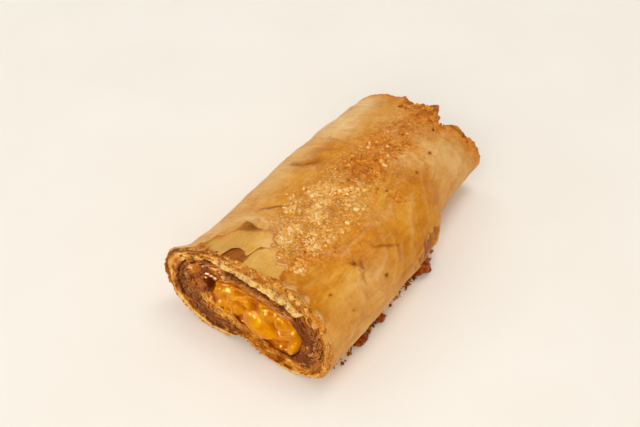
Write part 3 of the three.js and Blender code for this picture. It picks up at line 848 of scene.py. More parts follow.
def outer_ends(angle):
    """Rings of the three outermost sheets where they end over the cut, each with a gap under it."""
    degrees = np.degrees(angle)
    ends = outer_lines(angle)
    lift = skin_lift(angle)
    upper = smoothstep(np.sin(angle), 0.3, 0.6)
    parted = smoothstep(round_noise(angle, 8, 0.9, 36), -0.1, 0.3)
    parted = parted * (1 - hump((degrees - 160) / 25))
    blister = hump((degrees - BLISTER_DEGREES) / BLISTER_SPREAD)
    tuck = EDGE_TUCK + PARTED_TUCK * parted + TOP_TUCK * upper + BLISTER_TUCK * blister
    gap = OUTER_GAP * (0.15 + 0.5 * parted * (1 - upper) + 0.15 * upper)
    brown = smoothstep(degrees, BROWN_FROM - BROWN_EDGE, BROWN_FROM + BROWN_EDGE) * (np.sin(angle) > TOP_FROM)
    side_shade = 0.12 * smoothstep(degrees, 104, 110) - 0.5 * (1 - smoothstep(degrees, 96, 102))
    depth = np.zeros(COLUMNS)
    rings = []
    for i, end in enumerate(ends):
        edge_lift = lift * LIFT_SHARES[i]
        for t in np.linspace(0, 1, TOP_RINGS[i]):
            start = ends[i - 1] + tuck
            y = start + (end - start) * t
            sliver = hump(y - ends[1]) * (i == 2) * smoothstep(degrees, 94, 99)
            # Painted shadow on the second sheet under the lifted blister.
            blister_shadow = blister * smoothstep(y - ends[0], -2.0, 0.8) * (i == 1)
            toast = np.maximum(brown * (i == 2), sliver) * upper
            dark = 0.5 * blister_shadow + 0.75 * toast + side_shade * (i == 1)
            rings.append(ring(y, depth, edge_lift * t**3, bare=1 - toast, toast=toast, dark=dark))
        bottom = depth + SHEET_THICKNESS
        pale = 0.45 * (i < 2)
        rings.append(ring(end, bottom, edge_lift, cut=0.15, shade=0.3, dark=-pale))
        rings.append(ring(end + 0.5 * tuck, bottom, edge_lift * 0.6, cut=0.4, shade=0.2, dark=-0.5 * pale))
        rings.append(ring(end + tuck, bottom, edge_lift * 0.3, cut=0.8, shade=0.0))
        depth = bottom + gap
    return rings, ends, depth


def uneven_shares(angle, sheets, unevenness, seed):
    """Shares of the wall at which sheets of uneven thickness begin, and 1 where the last one ends."""
    spacing = np.stack([1 + unevenness * round_noise(angle, 5, 2.3 * k, seed) for k in range(sheets)])
    spacing = np.maximum(spacing, 0.25)
    return np.cumsum(np.vstack([np.zeros(COLUMNS), spacing]), axis=0) / spacing.sum(axis=0)


def inner_line(angle, share, place, dry, k):
    """Line where one inner sheet ends: ragged where it is dry, lumpy where it is soaked."""
    degrees = np.degrees(angle)
    over_fruit = smoothstep(degrees, 44, 54) * (1 - smoothstep(degrees, 124, 132))
    in_crumb = smoothstep(share, 0.26, 0.32) * (1 - smoothstep(share, 0.64, 0.7))
    at_top = smoothstep(np.sin(angle), 0.45, 0.8) * (1 - smoothstep(share, 0.12, 0.5))
    dent = WALL_GAP[4] * np.sqrt(within(place[..., 0], place[..., 2], WALL_GAP))
    end = cut_plane(place[..., 0], place[..., 2])
    end = end + TOP_SETBACK * at_top + CRUMB_SETBACK * over_fruit * in_crumb + dent
    ragged = round_layers(angle, 3.1 * k, SHEET_RAGGED)
    return end + dry * (0.3 + ragged) + (1 - dry) * layered(place, SOAKED_LUMPS)


def inner_ends(angle, wall, outer_edge, outer_depth):
    """Rings of the sheets between the outer ones and the tunnel, ending at the knife cut."""
    starts = uneven_shares(angle, INNER_SHEETS, unevenness=1.1, seed=41)
    starts = starts + np.sin(math.pi * starts) * round_layers(angle, 0.3, SHEET_RIPPLE) * RIPPLE_SHARE
    lip_share = lip(angle) / wall
    wall = wall + lip(angle)
    rings = []
    previous = outer_edge
    for k in range(INNER_SHEETS):
        top = outer_depth + (wall - outer_depth) * starts[k]
        below = outer_depth + (wall - outer_depth) * starts[k + 1]
        share = top / wall
        soaked, stained = cut_bands(angle, share)[1:]
        wet = np.clip(soaked + 0.6 * stained, 0, 1)
        dry = 1 - wet
        opened = smoothstep(round_noise(angle, 11, 5.3 * k, 47), 0.0, 0.4) * dry
        place = wall_point(angle, NEAR, share * (1 + lip_share))
        end = inner_line(angle, share, place, dry, k)
        end = np.where(share < 0.2, np.minimum(end, previous - 0.1), end)
        tuck = 0.1 + TUCK * opened
        bottom = top + (below - top) * (0.95 - 0.5 * opened)
        shade = 0.2 * round_noise(angle, 5, 2.7 * k, 45)
        # Round each sheet's own tone, which differs at random, light is painted at its top edge and shade
        # deep in the gaps.
        line = 0.32 * wet * smoothstep(round_noise(angle, 4, 3.3 * k, 60), -0.35, 0.25)
        rings.append(ring(np.maximum(previous, end) + tuck, top, cut=1.0, shade=shade - 0.2))
        rings.append(ring(end + 0.4 * tuck, top, cut=1.0, shade=shade))
        rings.append(ring(end, top + 0.05, cut=1.0, shade=shade + 0.2 * dry + line))
        rings.append(ring(end, bottom, cut=1.0, shade=shade - 0.12 * wet))
        rings.append(ring(end + tuck, bottom, cut=1.0, shade=shade - 0.3))
        previous = end
    return rings, previous


def torn_ends(angle, wall):
    """Rings of the torn end, from the tunnel out to the skin's far edge: sheets of uneven length."""
    place = torn_place(angle)
    starts = uneven_shares(angle, TORN_SHEETS, unevenness=0.9, seed=64)
    rings = []
    for k in range(TORN_SHEETS, 0, -1):
        share_top = starts[k - 1]
        share_bottom = share_top + 0.6 * (starts[k] - share_top)
        end = place - TORN_SETBACK + round_layers(angle, 4.1 * k, TORN_RAGGED)
        shade = 0.2 * round_noise(angle, 7, 2.7 * k, 53)
        # Round each sheet's own tone, shade is painted deep in the gap and light at its top edge.
        rings.append(ring(end - TORN_GAP, wall * share_bottom, cut=1.0, shade=shade - 0.2))
        rings.append(ring(end, wall * share_bottom, cut=1.0, shade=shade))
        if k > 1:
            rings.append(ring(end, wall * share_top + 0.1, cut=1.0, shade=shade + 0.2))
            rings.append(ring(end - TORN_STEP, wall * share_top, cut=1.0, shade=shade))
    skin_edge = place + round_layers(angle, 0.7, SKIN_RAGGED)
    for degrees, length, spread in TORN_BITS:
        skin_edge = skin_edge + length * hump((np.degrees(angle) - degrees) / spread)
    rings.append(ring(skin_edge, SHEET_THICKNESS, cut=0.3, toast=0.8))
    return rings, skin_edge


def wall_thickness(angle, y):
    """Distance from the skin to the tunnel."""
    return np.linalg.norm(skin_point(angle, y) - tunnel_point(angle, y), axis=-1)


def roll_rings(angle):
    """All rings of the closed roll, from the skin at the torn end round by the cut and the tunnel."""
    torn, skin_far = torn_ends(angle, wall_thickness(angle, FAR))
    outer, ends, depth = outer_ends(angle)
    inner, inside_edge = inner_ends(angle, wall_thickness(angle, NEAR), ends[-1], depth)
    lift = skin_lift(angle)
    rings = []
    for t in np.linspace(0, 1, SKIN_RINGS):
        y = skin_far + (ends[0] - skin_far) * t
        curl = np.clip(1 - (y - ends[0]) / CURL_REACH, 0, 1) ** 2
        browned = 0.7 * (1 - smoothstep(skin_far - y, 0.3, 2.2))
        rings.append(ring(y, 0.0, lift * curl, toast=browned))
    rings += outer + inner
    tunnel_near = inside_edge + 1.5
    tunnel_far = torn_place(angle) - 4.2
    for t in np.linspace(0, 1, TUNNEL_RINGS):
        y = tunnel_near + (tunnel_far - tunnel_near) * t
        rings.append(ring(y, wall_thickness(angle, y), cut=1.0))
    return np.stack(rings + torn)


def hole_in_skin(angle, y, points):
    """1 inside the ragged hole low on the right, 0 outside."""
    degrees, place, half_round, half_along = HOLE
    middle = float(unroll(math.radians(degrees)))
    away = np.hypot((unroll(angle) - middle) / half_round, (y - place) / half_along)
    away = away + layered(points, HOLE_RAGGED)
    return 1 - smoothstep(away, 0.85, 0.97)


def skin_relief(angle, y, skin, sugary, pits, hole, laps):
    """Height of the skin's relief: soft lumps, fine wrinkles, sugar crust, laps, pits and the hole."""
    round_way = unroll(angle)
    wrinkles = np.stack([round_way / 2.2, y / 9.0 + round_way / 14.0, 0 * y], -1)
    puckers = np.stack([round_way / 7.0 - y / 16.0, y / 5.0, 0 * y], -1)
    relief = layered(skin, SOFT_LUMPS) + 0.08 * perlin(wrinkles, 1.0, 3) + 0.14 * perlin(puckers, 1.0, 9)
    relief = relief + sugary * layered(skin, SUGAR_CRUST)
    return relief + laps - PIT_DEPTH * pits - HOLE_DEPTH * hole


def outward_ways(skin):
    """Ways out of the skin, square to its outline across the roll."""
    step = np.roll(skin, -1, axis=1) - np.roll(skin, 1, axis=1)
    outward = np.stack([step[..., 2], 0 * step[..., 1], -step[..., 0]], -1)
    return outward / np.maximum(np.linalg.norm(outward, axis=-1), TINY)[..., None]


def tear_bake(y, skin):
    """How toasted the skin is near the torn end, and how burnt the middle of its edge is."""
    x = skin[..., 0]
    toasted = smoothstep(y, *TEAR_TOASTED_Y) * (0.6 + 0.6 * perlin(skin, 5.0, 6))
    toasted = toasted * (1 - 0.6 * smoothstep(x, *LESS_TOASTED_X))
    burnt = smoothstep(y, *TEAR_BURNT_Y) * hump((x - TEAR_BURNT_X) / TEAR_BURNT_WIDTH)
    return toasted, np.maximum(burnt * (0.75 + 0.8 * perlin(skin, 2.6, 11)), 0)


def pale_bake_and_sheen(y, skin):
    """How much paler the skin is in patches, on the left, low down and on the right near the cut."""
    # Partly lighter bake and partly painted sheen and painted reflection of the table at grazing angles.
    left = PALE_LEFT[0] * smoothstep(-skin[..., 0], *PALE_LEFT[1:])
    low = PALE_LOW[0] * (1 - smoothstep(skin[..., 2], *PALE_LOW[1:]))
    right = PALE_RIGHT[0] * smoothstep(skin[..., 0], *PALE_RIGHT[1:]) * (1 - smoothstep(y, *PALE_RIGHT_Y))
    return np.clip(patches(skin, PALE) + (left + low + right), 0, 1)


def place_rings(angle, rings):
    """Points of the rings, and the marks that their material reads."""
    y, depth, lift, cut, shade, bare, toast, dark = np.moveaxis(rings, 1, 0)
    turn = np.broadcast_to(angle, y.shape)
    skin = skin_point(turn, y)
    inward = tunnel_point(turn, y) - skin
    wall = np.linalg.norm(inward, axis=-1)
    share = np.clip(depth / wall, 0, DEEPEST_SHARE)
    at_cut = 1 - smoothstep(y, NEAR + LIP_REACH[0], NEAR + LIP_REACH[1])
    cut_share = depth / (wall + at_cut * lip(turn))

    laps, lap_light_and_shade = lap_relief(turn, y)
    pits = pit_depth(turn, y)
    sugary = sugar_zone(skin)
    on_skin = 1 - np.maximum(cut, bare)
    hole = hole_in_skin(turn, y, skin) * on_skin
    relief = skin_relief(turn, y, skin, sugary, pits, hole, laps)
    relief = relief * np.maximum(1 - share, 0) * smoothstep(skin[..., 2], 0.0, 2.0)
    points = skin + inward * share[..., None] + outward_ways(skin) * (relief + lift)[..., None]
    points[..., 2] = np.maximum(points[..., 2], 0)

    tone, soaked, stained = cut_bands(turn, cut_share)
    tear_toasted, tear_burnt = tear_bake(y, skin)
    toasted = patches(skin, TOASTED) + 0.9 * pits + 0.7 * tear_toasted
    threads = perlin(np.stack([y / 1.3, skin[..., 2] / 7.0, 0 * y], -1), 1.0, 12)
    marks = {
        "toasted": np.clip(toasted * on_skin + toast, 0, 1),
        "bare": bare,
        "paler": pale_bake_and_sheen(y, skin) * on_skin,
        "cut": np.maximum(cut * smoothstep(share, 0.0, 0.08), hole),
        # Sheet shade paints light at the sheets' top edges and shade deep in the gaps between them.
        "tone": np.clip(tone + shade + hole * (0.45 * threads - 0.12), 0, 1),
        "soaked": soaked * cut,
        "stained": np.maximum(stained * cut, 0.7 * hole),
        # Painted shadow and highlight at laps and painted shadow under the blister, darkened too by burn and
        # toast.
        "lap": np.clip((lap_light_and_shade - 1.3 * pits - tear_burnt) * on_skin - dark, -1, 1),
        "sugary": sugary * on_skin,
    }
    return points, marks


def build_roll(material):
    """The rolled filo as one closed surface: skin, stepped sheet ends at the cut, tunnel and torn end."""
    angle = np.linspace(0, 2 * math.pi, COLUMNS, endpoint=False)
    rings = roll_rings(angle)
    points, marks = place_rings(angle, rings)
    count = len(rings)
    bm = bmesh.new()
    bmesh.ops.create_grid(bm, x_segments=COLUMNS, y_segments=count, size=1.0)
    flat = np.array([vertex.co for vertex in bm.verts])
    column = np.rint((flat[:, 0] + 1) / 2 * COLUMNS).astype(int)
    row = np.rint((flat[:, 1] + 1) / 2 * count).astype(int)
    put_marks(bm, {name: values[row % count, column % COLUMNS] for name, values in marks.items()})
    placed = frame_metres(points)[row % count, column % COLUMNS]
    for vertex, place in zip(bm.verts, placed.tolist()):
        vertex.co = place
    at = {(r, c): vertex for r, c, vertex in zip(row.tolist(), column.tolist(), bm.verts)}
    seam = {at[r, c]: at[r % count, c % COLUMNS] for r, c in at if r == count or c == COLUMNS}
    bmesh.ops.weld_verts(bm, targetmap=seam)
    bmesh.ops.recalc_face_normals(bm, faces=bm.faces)
    return make_piece("filo_sheets", bm, material, "filo_roll")


# Filling


def drawn_ball(turns, near_rows, side_rows, far_rows):
    """A ball as a bmesh, with each vertex's turn, spread over the end faces and share of the side."""
    rows = near_rows + side_rows + far_rows
    bm = bmesh.new()
    bmesh.ops.create_uvsphere(bm, u_segments=turns, v_segments=rows, radius=1.0)
    ball = np.array([vertex.co for vertex in bm.verts])
    turn = np.arctan2(ball[:, 1], ball[:, 0])
    row = rows * np.arccos(np.clip(-ball[:, 2], -1, 1)) / math.pi
    spread = np.clip(np.minimum(row / near_rows, (rows - row) / far_rows), 0, 1)
    along = np.clip((row - near_rows) / side_rows, 0, 1)
    return bm, turn, spread, along


def set_places(bm, points):
    """Moves the vertices to their places on the strudel and turns the faces outwards."""
    for vertex, place in zip(bm.verts, frame_metres(points).tolist()):
        vertex.co = place
    bmesh.ops.recalc_face_normals(bm, faces=bm.faces)


def within(x, z, oval):
    """1 in the middle of an oval (x, z, half width, half height, depth, tilt...), 0 at its rim and beyond."""
    tilt = math.radians(oval[6]) if len(oval) > 6 else 0.0
    across = (x - oval[0]) * math.cos(tilt) + (z - oval[1]) * math.sin(tilt)
    up = (z - oval[1]) * math.cos(tilt) - (x - oval[0]) * math.sin(tilt)
    return np.maximum(1 - (across / oval[2]) ** 2 - (up / oval[3]) ** 2, 0)


def fruit_bits():
    """Small bits of fruit and jelly among the pieces, in the form of FRUIT_PIECES."""
    rng = np.random.default_rng(67)
    bits = []
    for _ in range(FRUIT_BITS):
        x = rng.uniform(*FRUIT_BIT_X)
        z = TUNNEL_Z + TUNNEL_SLOPE * (x - TUNNEL_X) + rng.uniform(*FRUIT_BIT_OFF)
        half = rng.uniform(*FRUIT_BIT_HALF)
        half_height = half * rng.uniform(*FRUIT_BIT_FLATNESS)
        bits.append((x, z, half, half_height, rng.uniform(*FRUIT_BIT_BULGE), FRUIT_BIT_SMOOTHNESS))
    return tuple(bits)


def fruit_rise(face):
    """How far fruit stands out of the jelly over the end face, and how smooth that fruit is."""
    warp = 1.2 * perlin(face, 5.0, 61)
    rise = np.zeros(len(face))
    smooth = np.zeros(len(face))
    for piece in FRUIT_PIECES + fruit_bits():
        bulge_out, smoothness = piece[4:6]
        bent = warp * (1 - smoothness)
        bulge = bulge_out * np.sqrt(within(face[:, 0] + bent, face[:, 2] + bent, piece))
        smooth = np.where(bulge > rise, smoothness, smooth)
        rise = np.maximum(rise, bulge)
    return rise, smooth


def build_fruit(material):
    """Fruit pieces bedded in jelly, filling the tunnel."""
    bm, turn, spread, along = drawn_ball(*FRUIT_MESH)

    def in_tunnel(y):
        """The ball's points spread out to the tunnel's wall at their places along it."""
        wall = tunnel_point(turn, y, GAP)
        centre = np.stack([0 * y + TUNNEL_X, y, 0 * y + TUNNEL_Z], -1)
        return centre + (wall - centre) * spread[:, None]

    face = in_tunnel(np.full(len(turn), NEAR))
    x = face[:, 0]
    z = face[:, 2]
    rise, smooth = fruit_rise(face)
    lumps = sum(height * np.abs(perlin(face, size, seed)) for height, size, seed in FRUIT_LUMPS)
    lumps = lumps - FRUIT_LUMPS_MIDDLE
    centre = np.array([TUNNEL_X, NEAR, TUNNEL_Z])
    inside = (1 - spread) * np.linalg.norm(tunnel_point(turn, NEAR) - centre, axis=-1)
    past_lip = inside - lip(turn)
    rise = rise * smoothstep(past_lip, *FRUIT_RISES)
    juice = JUICE_HEIGHT + JUICE_MORE * (1 - smoothstep(past_lip, *JUICE_MORE_TO))
    rise = np.maximum(rise, juice * smoothstep(past_lip, *JUICE_RISES))
    rise = rise + lumps * (1 - SMOOTHED * smooth)
    hole = AIR_GAP[4] * np.sqrt(within(x, z, AIR_GAP))
    near = cut_plane(x, z) + JELLY_RECESS - rise + hole
    far = FAR - FAR_RECESS - FAR_LUMPS[0] * np.abs(perlin(face, FAR_LUMPS[1], 65)) + 0.5 * lumps
    y = near + (far - near) * along
    set_places(bm, in_tunnel(y))
    put_marks(bm, {"flesh": smoothstep(rise, 0.0, 2.1), "smooth": smooth, "gap_shade": np.clip(hole / 3, 0, 1)})
    return make_piece("fruit_in_jelly", bm, material, "fruit_filling")


def build_crumb(material):
    """Crumb layer in the wall over the fruit, with a coarse broken face at the cut."""
    bm, turn, spread, along = drawn_ball(*CRUMB_MESH)
    reach = spread * squareness(np.cos(turn), np.sin(turn), CRUMB_POWER)
    across = reach * np.cos(turn)
    deep = reach * np.sin(turn)
    angle = (CRUMB_FROM + CRUMB_TO) / 2 + (CRUMB_TO - CRUMB_FROM) / 2 * across
    share = (CRUMB_OUTER + CRUMB_INNER) / 2 - (CRUMB_INNER - CRUMB_OUTER) / 2 * deep
    face = wall_point(angle, np.full(len(turn), NEAR), share)
    coarse = layered(face, CRUMB_GRAIN)
    thick = smoothstep(face[:, 0], *CRUMB_THICK_X)
    near = cut_plane(face[:, 0], face[:, 2]) + CRUMB_RECESS - CRUMB_THICK * thick - CRUMB_COARSENESS * coarse
    near = near + CRUMB_END_RECESS * (1 - smoothstep(np.degrees(angle), *CRUMB_END_DEGREES))
    y = near + (FAR - FAR_RECESS - near) * along
    set_places(bm, wall_point(angle, y, share))
    # The face's relief is also its mark, so the colour darkens where the face lies back: painted shade.
    put_marks(bm, {"coarse": np.clip(0.45 + 0.5 * coarse, 0, 1)})
    return make_piece("crumb_layer_crumbs", bm, material, "crumb_layer")


# Toppings and bits


def corners_and_faces(bm):
    """Corners of a finished bmesh, and its faces as lists of corners."""
    bm.verts.index_update()
    corners = np.array([vertex.co for vertex in bm.verts])
    faces = [[vertex.index for vertex in face.verts] for face in bm.faces]
    bm.free()
    return corners, faces


def sugar_crystal_shape():
    """Corners and faces of one sugar grain: a block with its edges cut off."""
    bm = bmesh.new()
    bmesh.ops.create_cube(bm, size=1.0)
    bmesh.ops.bevel(
        bm, geom=bm.edges, offset=0.17, segments=1, profile=0.5, affect="EDGES", material=-1,
        clamp_overlap=True,
    )
    return corners_and_faces(bm)


def crumb_shape():
    """Corners and faces of one crumb, before it is made uneven."""
    bm = bmesh.new()
    bmesh.ops.create_icosphere(bm, subdivisions=2, radius=0.5)
    return corners_and_faces(bm)


def scatter(name, material, shape, grains, unevenness, seed):
    """One piece made of many small copies of a shape, joined in one go because there are hundreds.

    A grain is (place, its three ways, its three sizes, marks).
    """
    rng = np.random.default_rng(seed)
    corners, faces = shape
    points = []
    for place, ways, sizes, _ in grains:
        uneven = 1 + unevenness * rng.uniform(-1, 1, (len(corners), 1))
        points.append(place + (corners * uneven * sizes) @ np.array(ways))
    points = np.vstack(points)
    points[:, 2] = np.maximum(points[:, 2], 0)
    all_faces = [[i + k * len(corners) for i in face] for k in range(len(grains)) for face in faces]
    mesh = bpy.data.meshes.new("grains")
    mesh.from_pydata(frame_metres(points).tolist(), [], all_faces)
    bm = bmesh.new()
    bm.from_mesh(mesh)
    bpy.data.meshes.remove(mesh)
    for mark in grains[0][3]:
        put_marks(bm, {mark: np.repeat([grain[3][mark] for grain in grains], len(corners))})
    return make_piece(name, bm, material)


def mostly_low(rng, spread):
    """A value drawn from a spread (low, high, power)."""
    low, high, power = spread
    return low + (high - low) * rng.random() ** power


def draw_sizes(rng, size, ranges):
    """Sizes of a grain or flake across it, each drawn from a range of shares of its size."""
    return size * np.array([rng.uniform(low, high) for low, high in ranges])


def build_sugar(material):
    """Coarse sugar baked onto the crown, in loose clusters that thin out towards the torn end."""
    rng = np.random.default_rng(81)
    slant, level_y = SUGAR_SLANT
    usual, variation = SUGAR_CROWD
    grains = []
    while len(grains) < SUGAR_GRAINS:
        y = mostly_low(rng, SUGAR_RUN)
        aside = rng.random() + rng.random() - 1
        angle = math.radians(SUGAR_DEGREES - slant * (y - level_y) + SUGAR_SPREAD_DEGREES * aside)
        spot = skin_point(angle, y)
        crowd = usual + variation * noise.noise(Vector(spot) / SUGAR_CLUSTER + Vector((3.1, 0, 0)))
        near_blister = hump((math.degrees(angle) - BLISTER_DEGREES) / SUGAR_BLISTER_SPREAD)
        clear = SUGAR_OFF_EDGE + SUGAR_OFF_BLISTER * near_blister
        bared = y < edge_over_cut(np.array(angle), SKIN_EDGE, ragged=0.0, seed=31) + clear
        thinned = smoothstep(y, *SUGAR_THINS_OVER) * SUGAR_THINNED
        if bared or rng.random() > crowd * (1 - thinned):
            continue
        size = mostly_low(rng, SUGAR_SIZES)
        out = np.array([math.cos(angle), 0, math.sin(angle)])
        spot = spot + out * (layered(spot, SOFT_LUMPS) - SUGAR_SINK * size)
        ways = np.array(Euler(rng.uniform(0, 2 * math.pi, 3)).to_matrix())
        grains.append((spot, ways, size * rng.uniform(*SUGAR_STRETCH, 3), {"pale": rng.random() ** 4}))
    return scatter("sugar_grains", material, sugar_crystal_shape(), grains, unevenness=0.12, seed=82)


def caramel_crowd(y):
    """How crowded the bits of caramel are along the roll: most half way along it and at the torn end."""
    heaps = (share * hump((y - place) / spread) for place, spread, share in CARAMEL_HEAPS)
    return sum(heaps, CARAMEL_EVERYWHERE)


def pit_specks(rng):
    """Burnt specks that sit in the pits of the skin."""
    degrees, places, radii = np.array(PITS).T
    turns = np.radians(degrees)
    spots = skin_point(turns, places)
    reliefs = layered(spots, SOFT_LUMPS) + lap_relief(turns, places)[0] - SPECK_SINK
    specks = []
    for angle, spot, relief, radius in zip(turns, spots, reliefs, radii):
        ways = sides_at(angle, rng.uniform(0, math.pi), 0.0)
        sizes = np.array([1.3 * radius, 0.9 * radius, 0.8])
        specks.append((spot + ways[2] * relief, ways, sizes, {"toasted": 1.0, "cut": 0.9, "tone": 0.0}))
    return specks


def build_caramel(material):
    """Bits of burnt sugar and crust that stand on the crown to the torn end, and the specks in its pits."""
    rng = np.random.default_rng(85)
    line_y, line_x = np.array(CARAMEL_LINE, float).T
    smallest, largest, power = CARAMEL_SPREAD
    grains = []
    while len(grains) < CARAMEL_BITS:
        y = rng.uniform(*CARAMEL_Y)
        x = np.interp(y, line_y, line_x) + rng.normal(0, CARAMEL_STRAY)
        angle = math.radians(90 - CROWN_DEGREES_PER_MM * x)
        spot = skin_point(angle, y)
        if rng.random() > caramel_crowd(y):
            continue
        at_tear = smoothstep(y, *CARAMEL_TEAR_Y)
        size = mostly_low(rng, (smallest, largest + CARAMEL_TEAR_SIZE * at_tear, power))
        ways = sides_at(angle, rng.uniform(0, math.pi), rng.uniform(-0.3, 0.3))
        spot = spot + ways[2] * (layered(spot, SOFT_LUMPS) - CARAMEL_SINK * size)
        sizes = draw_sizes(rng, size, CARAMEL_SIZES)
        burnt = rng.random() < CARAMEL_BURNT + CARAMEL_TEAR_BURNT * at_tear
        marks = {"toasted": rng.uniform(0.6, 1.0), "cut": 0.9 * burnt, "tone": rng.uniform(0.1, 0.45)}
        grains.append((spot, ways, sizes, marks))
    grains += pit_specks(rng)
    return scatter("caramel_bits", material, crumb_shape(), grains, unevenness=0.25, seed=86)


def by_place(parts, top, corner):
    """A share from its parts (all round, more over the top, more at the burnt corner)."""
    return parts[0] + parts[1] * top + parts[2] * corner


def build_rim_crumbs(material):
    """Crumbs of broken sheet round the rim of the cut: golden at the sides, burnt and cream over the top."""
    rng = np.random.default_rng(88)
    steps = np.radians(np.arange(-89, 270))
    reach = unroll(steps)
    least, most, power = RIM_DEPTH
    grains = []
    while len(grains) < RIM_CRUMBS:
        angle = float(np.interp(rng.uniform(reach[0], reach[-1]), reach, steps))
        top = smoothstep(math.sin(angle), 0.1, 0.6)
        corner = hump((math.degrees(angle) - BURNT_CORNER[0]) / BURNT_CORNER[1])
        if rng.random() > by_place(RIM_CROWD, top, corner):
            continue
        deep = mostly_low(rng, (least, most + RIM_TOP_DEPTH * top, power)) + RIM_CORNER_DEPTH * corner
        spot = wall_point(angle, NEAR, deep / wall_thickness(angle, NEAR))
        setback = RIM_SETBACK * top * (deep < RIM_SETBACK_DEPTH)
        spot[1] = cut_plane(spot[0], spot[2]) + rng.uniform(*RIM_STRAY) + setback
        kind = rng.random()
        top_left = smoothstep(math.degrees(angle), 100, 115) * top
        burnt = kind < by_place(RIM_BURNT, top_left, corner)
        cream = kind > by_place(RIM_CREAM, top, corner)
        tones = BURNT_TONES if burnt else CREAM_TONES if cream else GOLDEN_TONES
        marks = {"toasted": 0.4, "cut": 0.85, "tone": rng.uniform(*tones)}
        ways = sides_at(angle, rng.uniform(-0.6, 0.6), rng.uniform(-0.5, 0.5))
        size = mostly_low(rng, RIM_CRUMB_SPREAD)
        grains.append((spot, ways, draw_sizes(rng, size, RIM_CRUMB_SIZES), marks))
    return scatter("rim_crumbs", material, crumb_shape(), grains, unevenness=0.3, seed=89)


def scrap(bm, middle, sides, half_sizes, curl, marks, seed):
    """A thin ragged scrap of sheet. Its sides are the way across it, along it and out of it."""
    made = bmesh.ops.create_grid(bm, x_segments=8, y_segments=6, size=1.0)["verts"]
    flat = np.array([vertex.co for vertex in made])
    u = flat[:, 0] * np.sqrt(1 - flat[:, 1] ** 2 / 2)
    v = flat[:, 1] * np.sqrt(1 - flat[:, 0] ** 2 / 2)
    ragged = 1 + 0.45 * round_noise(np.arctan2(v, u), 1.6, seed * 0.37, 95)
    u = u * ragged
    v = v * ragged
    buckle = 0.3 * perlin(np.stack([u, v, 0 * u + seed * 1.7], -1), 0.9, 96)
    across, along, out = sides
    rise = curl * (0.6 * u**2 + 0.4 * v**2 + buckle)
    points = middle + np.outer(u * half_sizes[0], across) + np.outer(v * half_sizes[1], along)
    points = points + np.outer(rise, out)
    layers = [(bm.verts.layers.float[name], value) for name, value in marks.items()]
    for vertex, place in zip(made, frame_metres(points).tolist()):
        vertex.co = place
        for layer, value in layers:
            vertex[layer] = value
    faces = list(dict.fromkeys(face for vertex in made for face in vertex.link_faces))
    bmesh.ops.solidify(bm, geom=faces, thickness=SCRAP_THICKNESS * MM)


def sides_at(angle, turn, tilt):
    """Ways across, along and out of a sheet at an angle round the roll, turned and tilted a little."""
    out = np.array([math.cos(angle), 0.0, math.sin(angle)])
    across = np.array([-math.sin(angle), 0.0, math.cos(angle)])
    along = np.array([0.0, 1.0, 0.0])
    across, along = (
        across * math.cos(turn) + along * math.sin(turn),
        along * math.cos(turn) - across * math.sin(turn),
    )
    along, out = (
        along * math.cos(tilt) + out * math.sin(tilt),
        out * math.cos(tilt) - along * math.sin(tilt),
    )
    return across, along, out


def build_flakes(material):
    """Scraps of sheet that have come loose: a few large ones, and small ones all round the rim of the cut."""
    rng = np.random.default_rng(83)
    bm = bmesh.new()
    for name in ("toasted", "cut", "tone"):
        bm.verts.layers.float.new(name)
    for i, (degrees, y, half_width, half_length, height, curl, toast) in enumerate(SCRAPS):
        angle = math.radians(degrees)
        sides = sides_at(angle, rng.uniform(*FLAKE_TURN), rng.uniform(*SCRAP_TILT))
        middle = skin_point(angle, y) + sides[2] * height
        scrap(bm, middle, sides, (half_width, half_length), curl, {"toasted": toast}, i)
    for i in range(RIM_FLAKES):
        degrees = rng.uniform(*RIM_DEGREES) if rng.random() < RIM_SHARE else rng.normal(*LEFT_DEGREES)
        angle = math.radians(degrees)
        fringe = hump((degrees - FRINGE_DEGREES[0]) / FRINGE_DEGREES[1])
        burnt = hump((degrees - BURNT_DEGREES[0]) / BURNT_DEGREES[1])
        share = mostly_low(rng, FLAKE_SHARES) * (1 - fringe) - FRINGE_OVERHANG * fringe
        place = wall_point(angle, NEAR, share)
        place[1] = cut_plane(place[0], place[2]) + rng.uniform(0.0, 1.0)
        sides = sides_at(angle, rng.uniform(*FLAKE_TURN), rng.uniform(*FLAKE_TILT))
        half_sizes = draw_sizes(rng, 1 + 0.3 * fringe, (FLAKE_HALF_WIDTH, FLAKE_HALF_LENGTH))
        tone = rng.uniform(0.35, 1.0) * (1 - 0.7 * burnt)
        crisp = rng.random() ** 2
        raw = rng.choice([0.2, 0.9]) * (1 - 0.7 * fringe)
        marks = {"toasted": max(crisp, 0.8 * fringe), "cut": raw, "tone": tone}
        scrap(bm, place, sides, half_sizes, rng.uniform(0, 0.3), marks, 40 + i)
    bmesh.ops.recalc_face_normals(bm, faces=bm.faces)
    return make_piece("filo_flakes", bm, material)


def lump_bmesh(divisions, half_sizes, middle, unevenness, seed):
    """A ball pushed out of round by noise, with its half sizes and its middle."""
    bm = bmesh.new()
    bmesh.ops.create_icosphere(bm, subdivisions=divisions, radius=1.0)
    ball = np.array([vertex.co for vertex in bm.verts])
    layers = ((1.0, 0.8, seed), (0.7, 0.4, seed + 1), (0.4, 0.2, seed + 2))
    swell = 1 + unevenness * layered(ball, layers)
    points = ball * swell[:, None] * np.array(half_sizes) + np.array(middle)
    points[:, 2] = np.maximum(points[:, 2], 0)
    set_places(bm, points)
    return bm


def build_syrup(material):
    """Juice that leaked out at the right-hand foot and caramelised into dark lumps."""
    for i, (y, half_width, half_length, half_height, out) in enumerate(SYRUP_DROPS):
        foot = skin_point(SYRUP_ANGLE, y)
        middle = (foot[0] + out, y, half_height * 0.8)
        half_sizes = (half_width, half_length, half_height)
        bm = lump_bmesh(SYRUP_DIVISIONS, half_sizes, middle, unevenness=0.34, seed=91 + 3 * i)
        make_piece(f"burnt_syrup_{i + 1}", bm, material, f"leaked_syrup_{i + 1}")


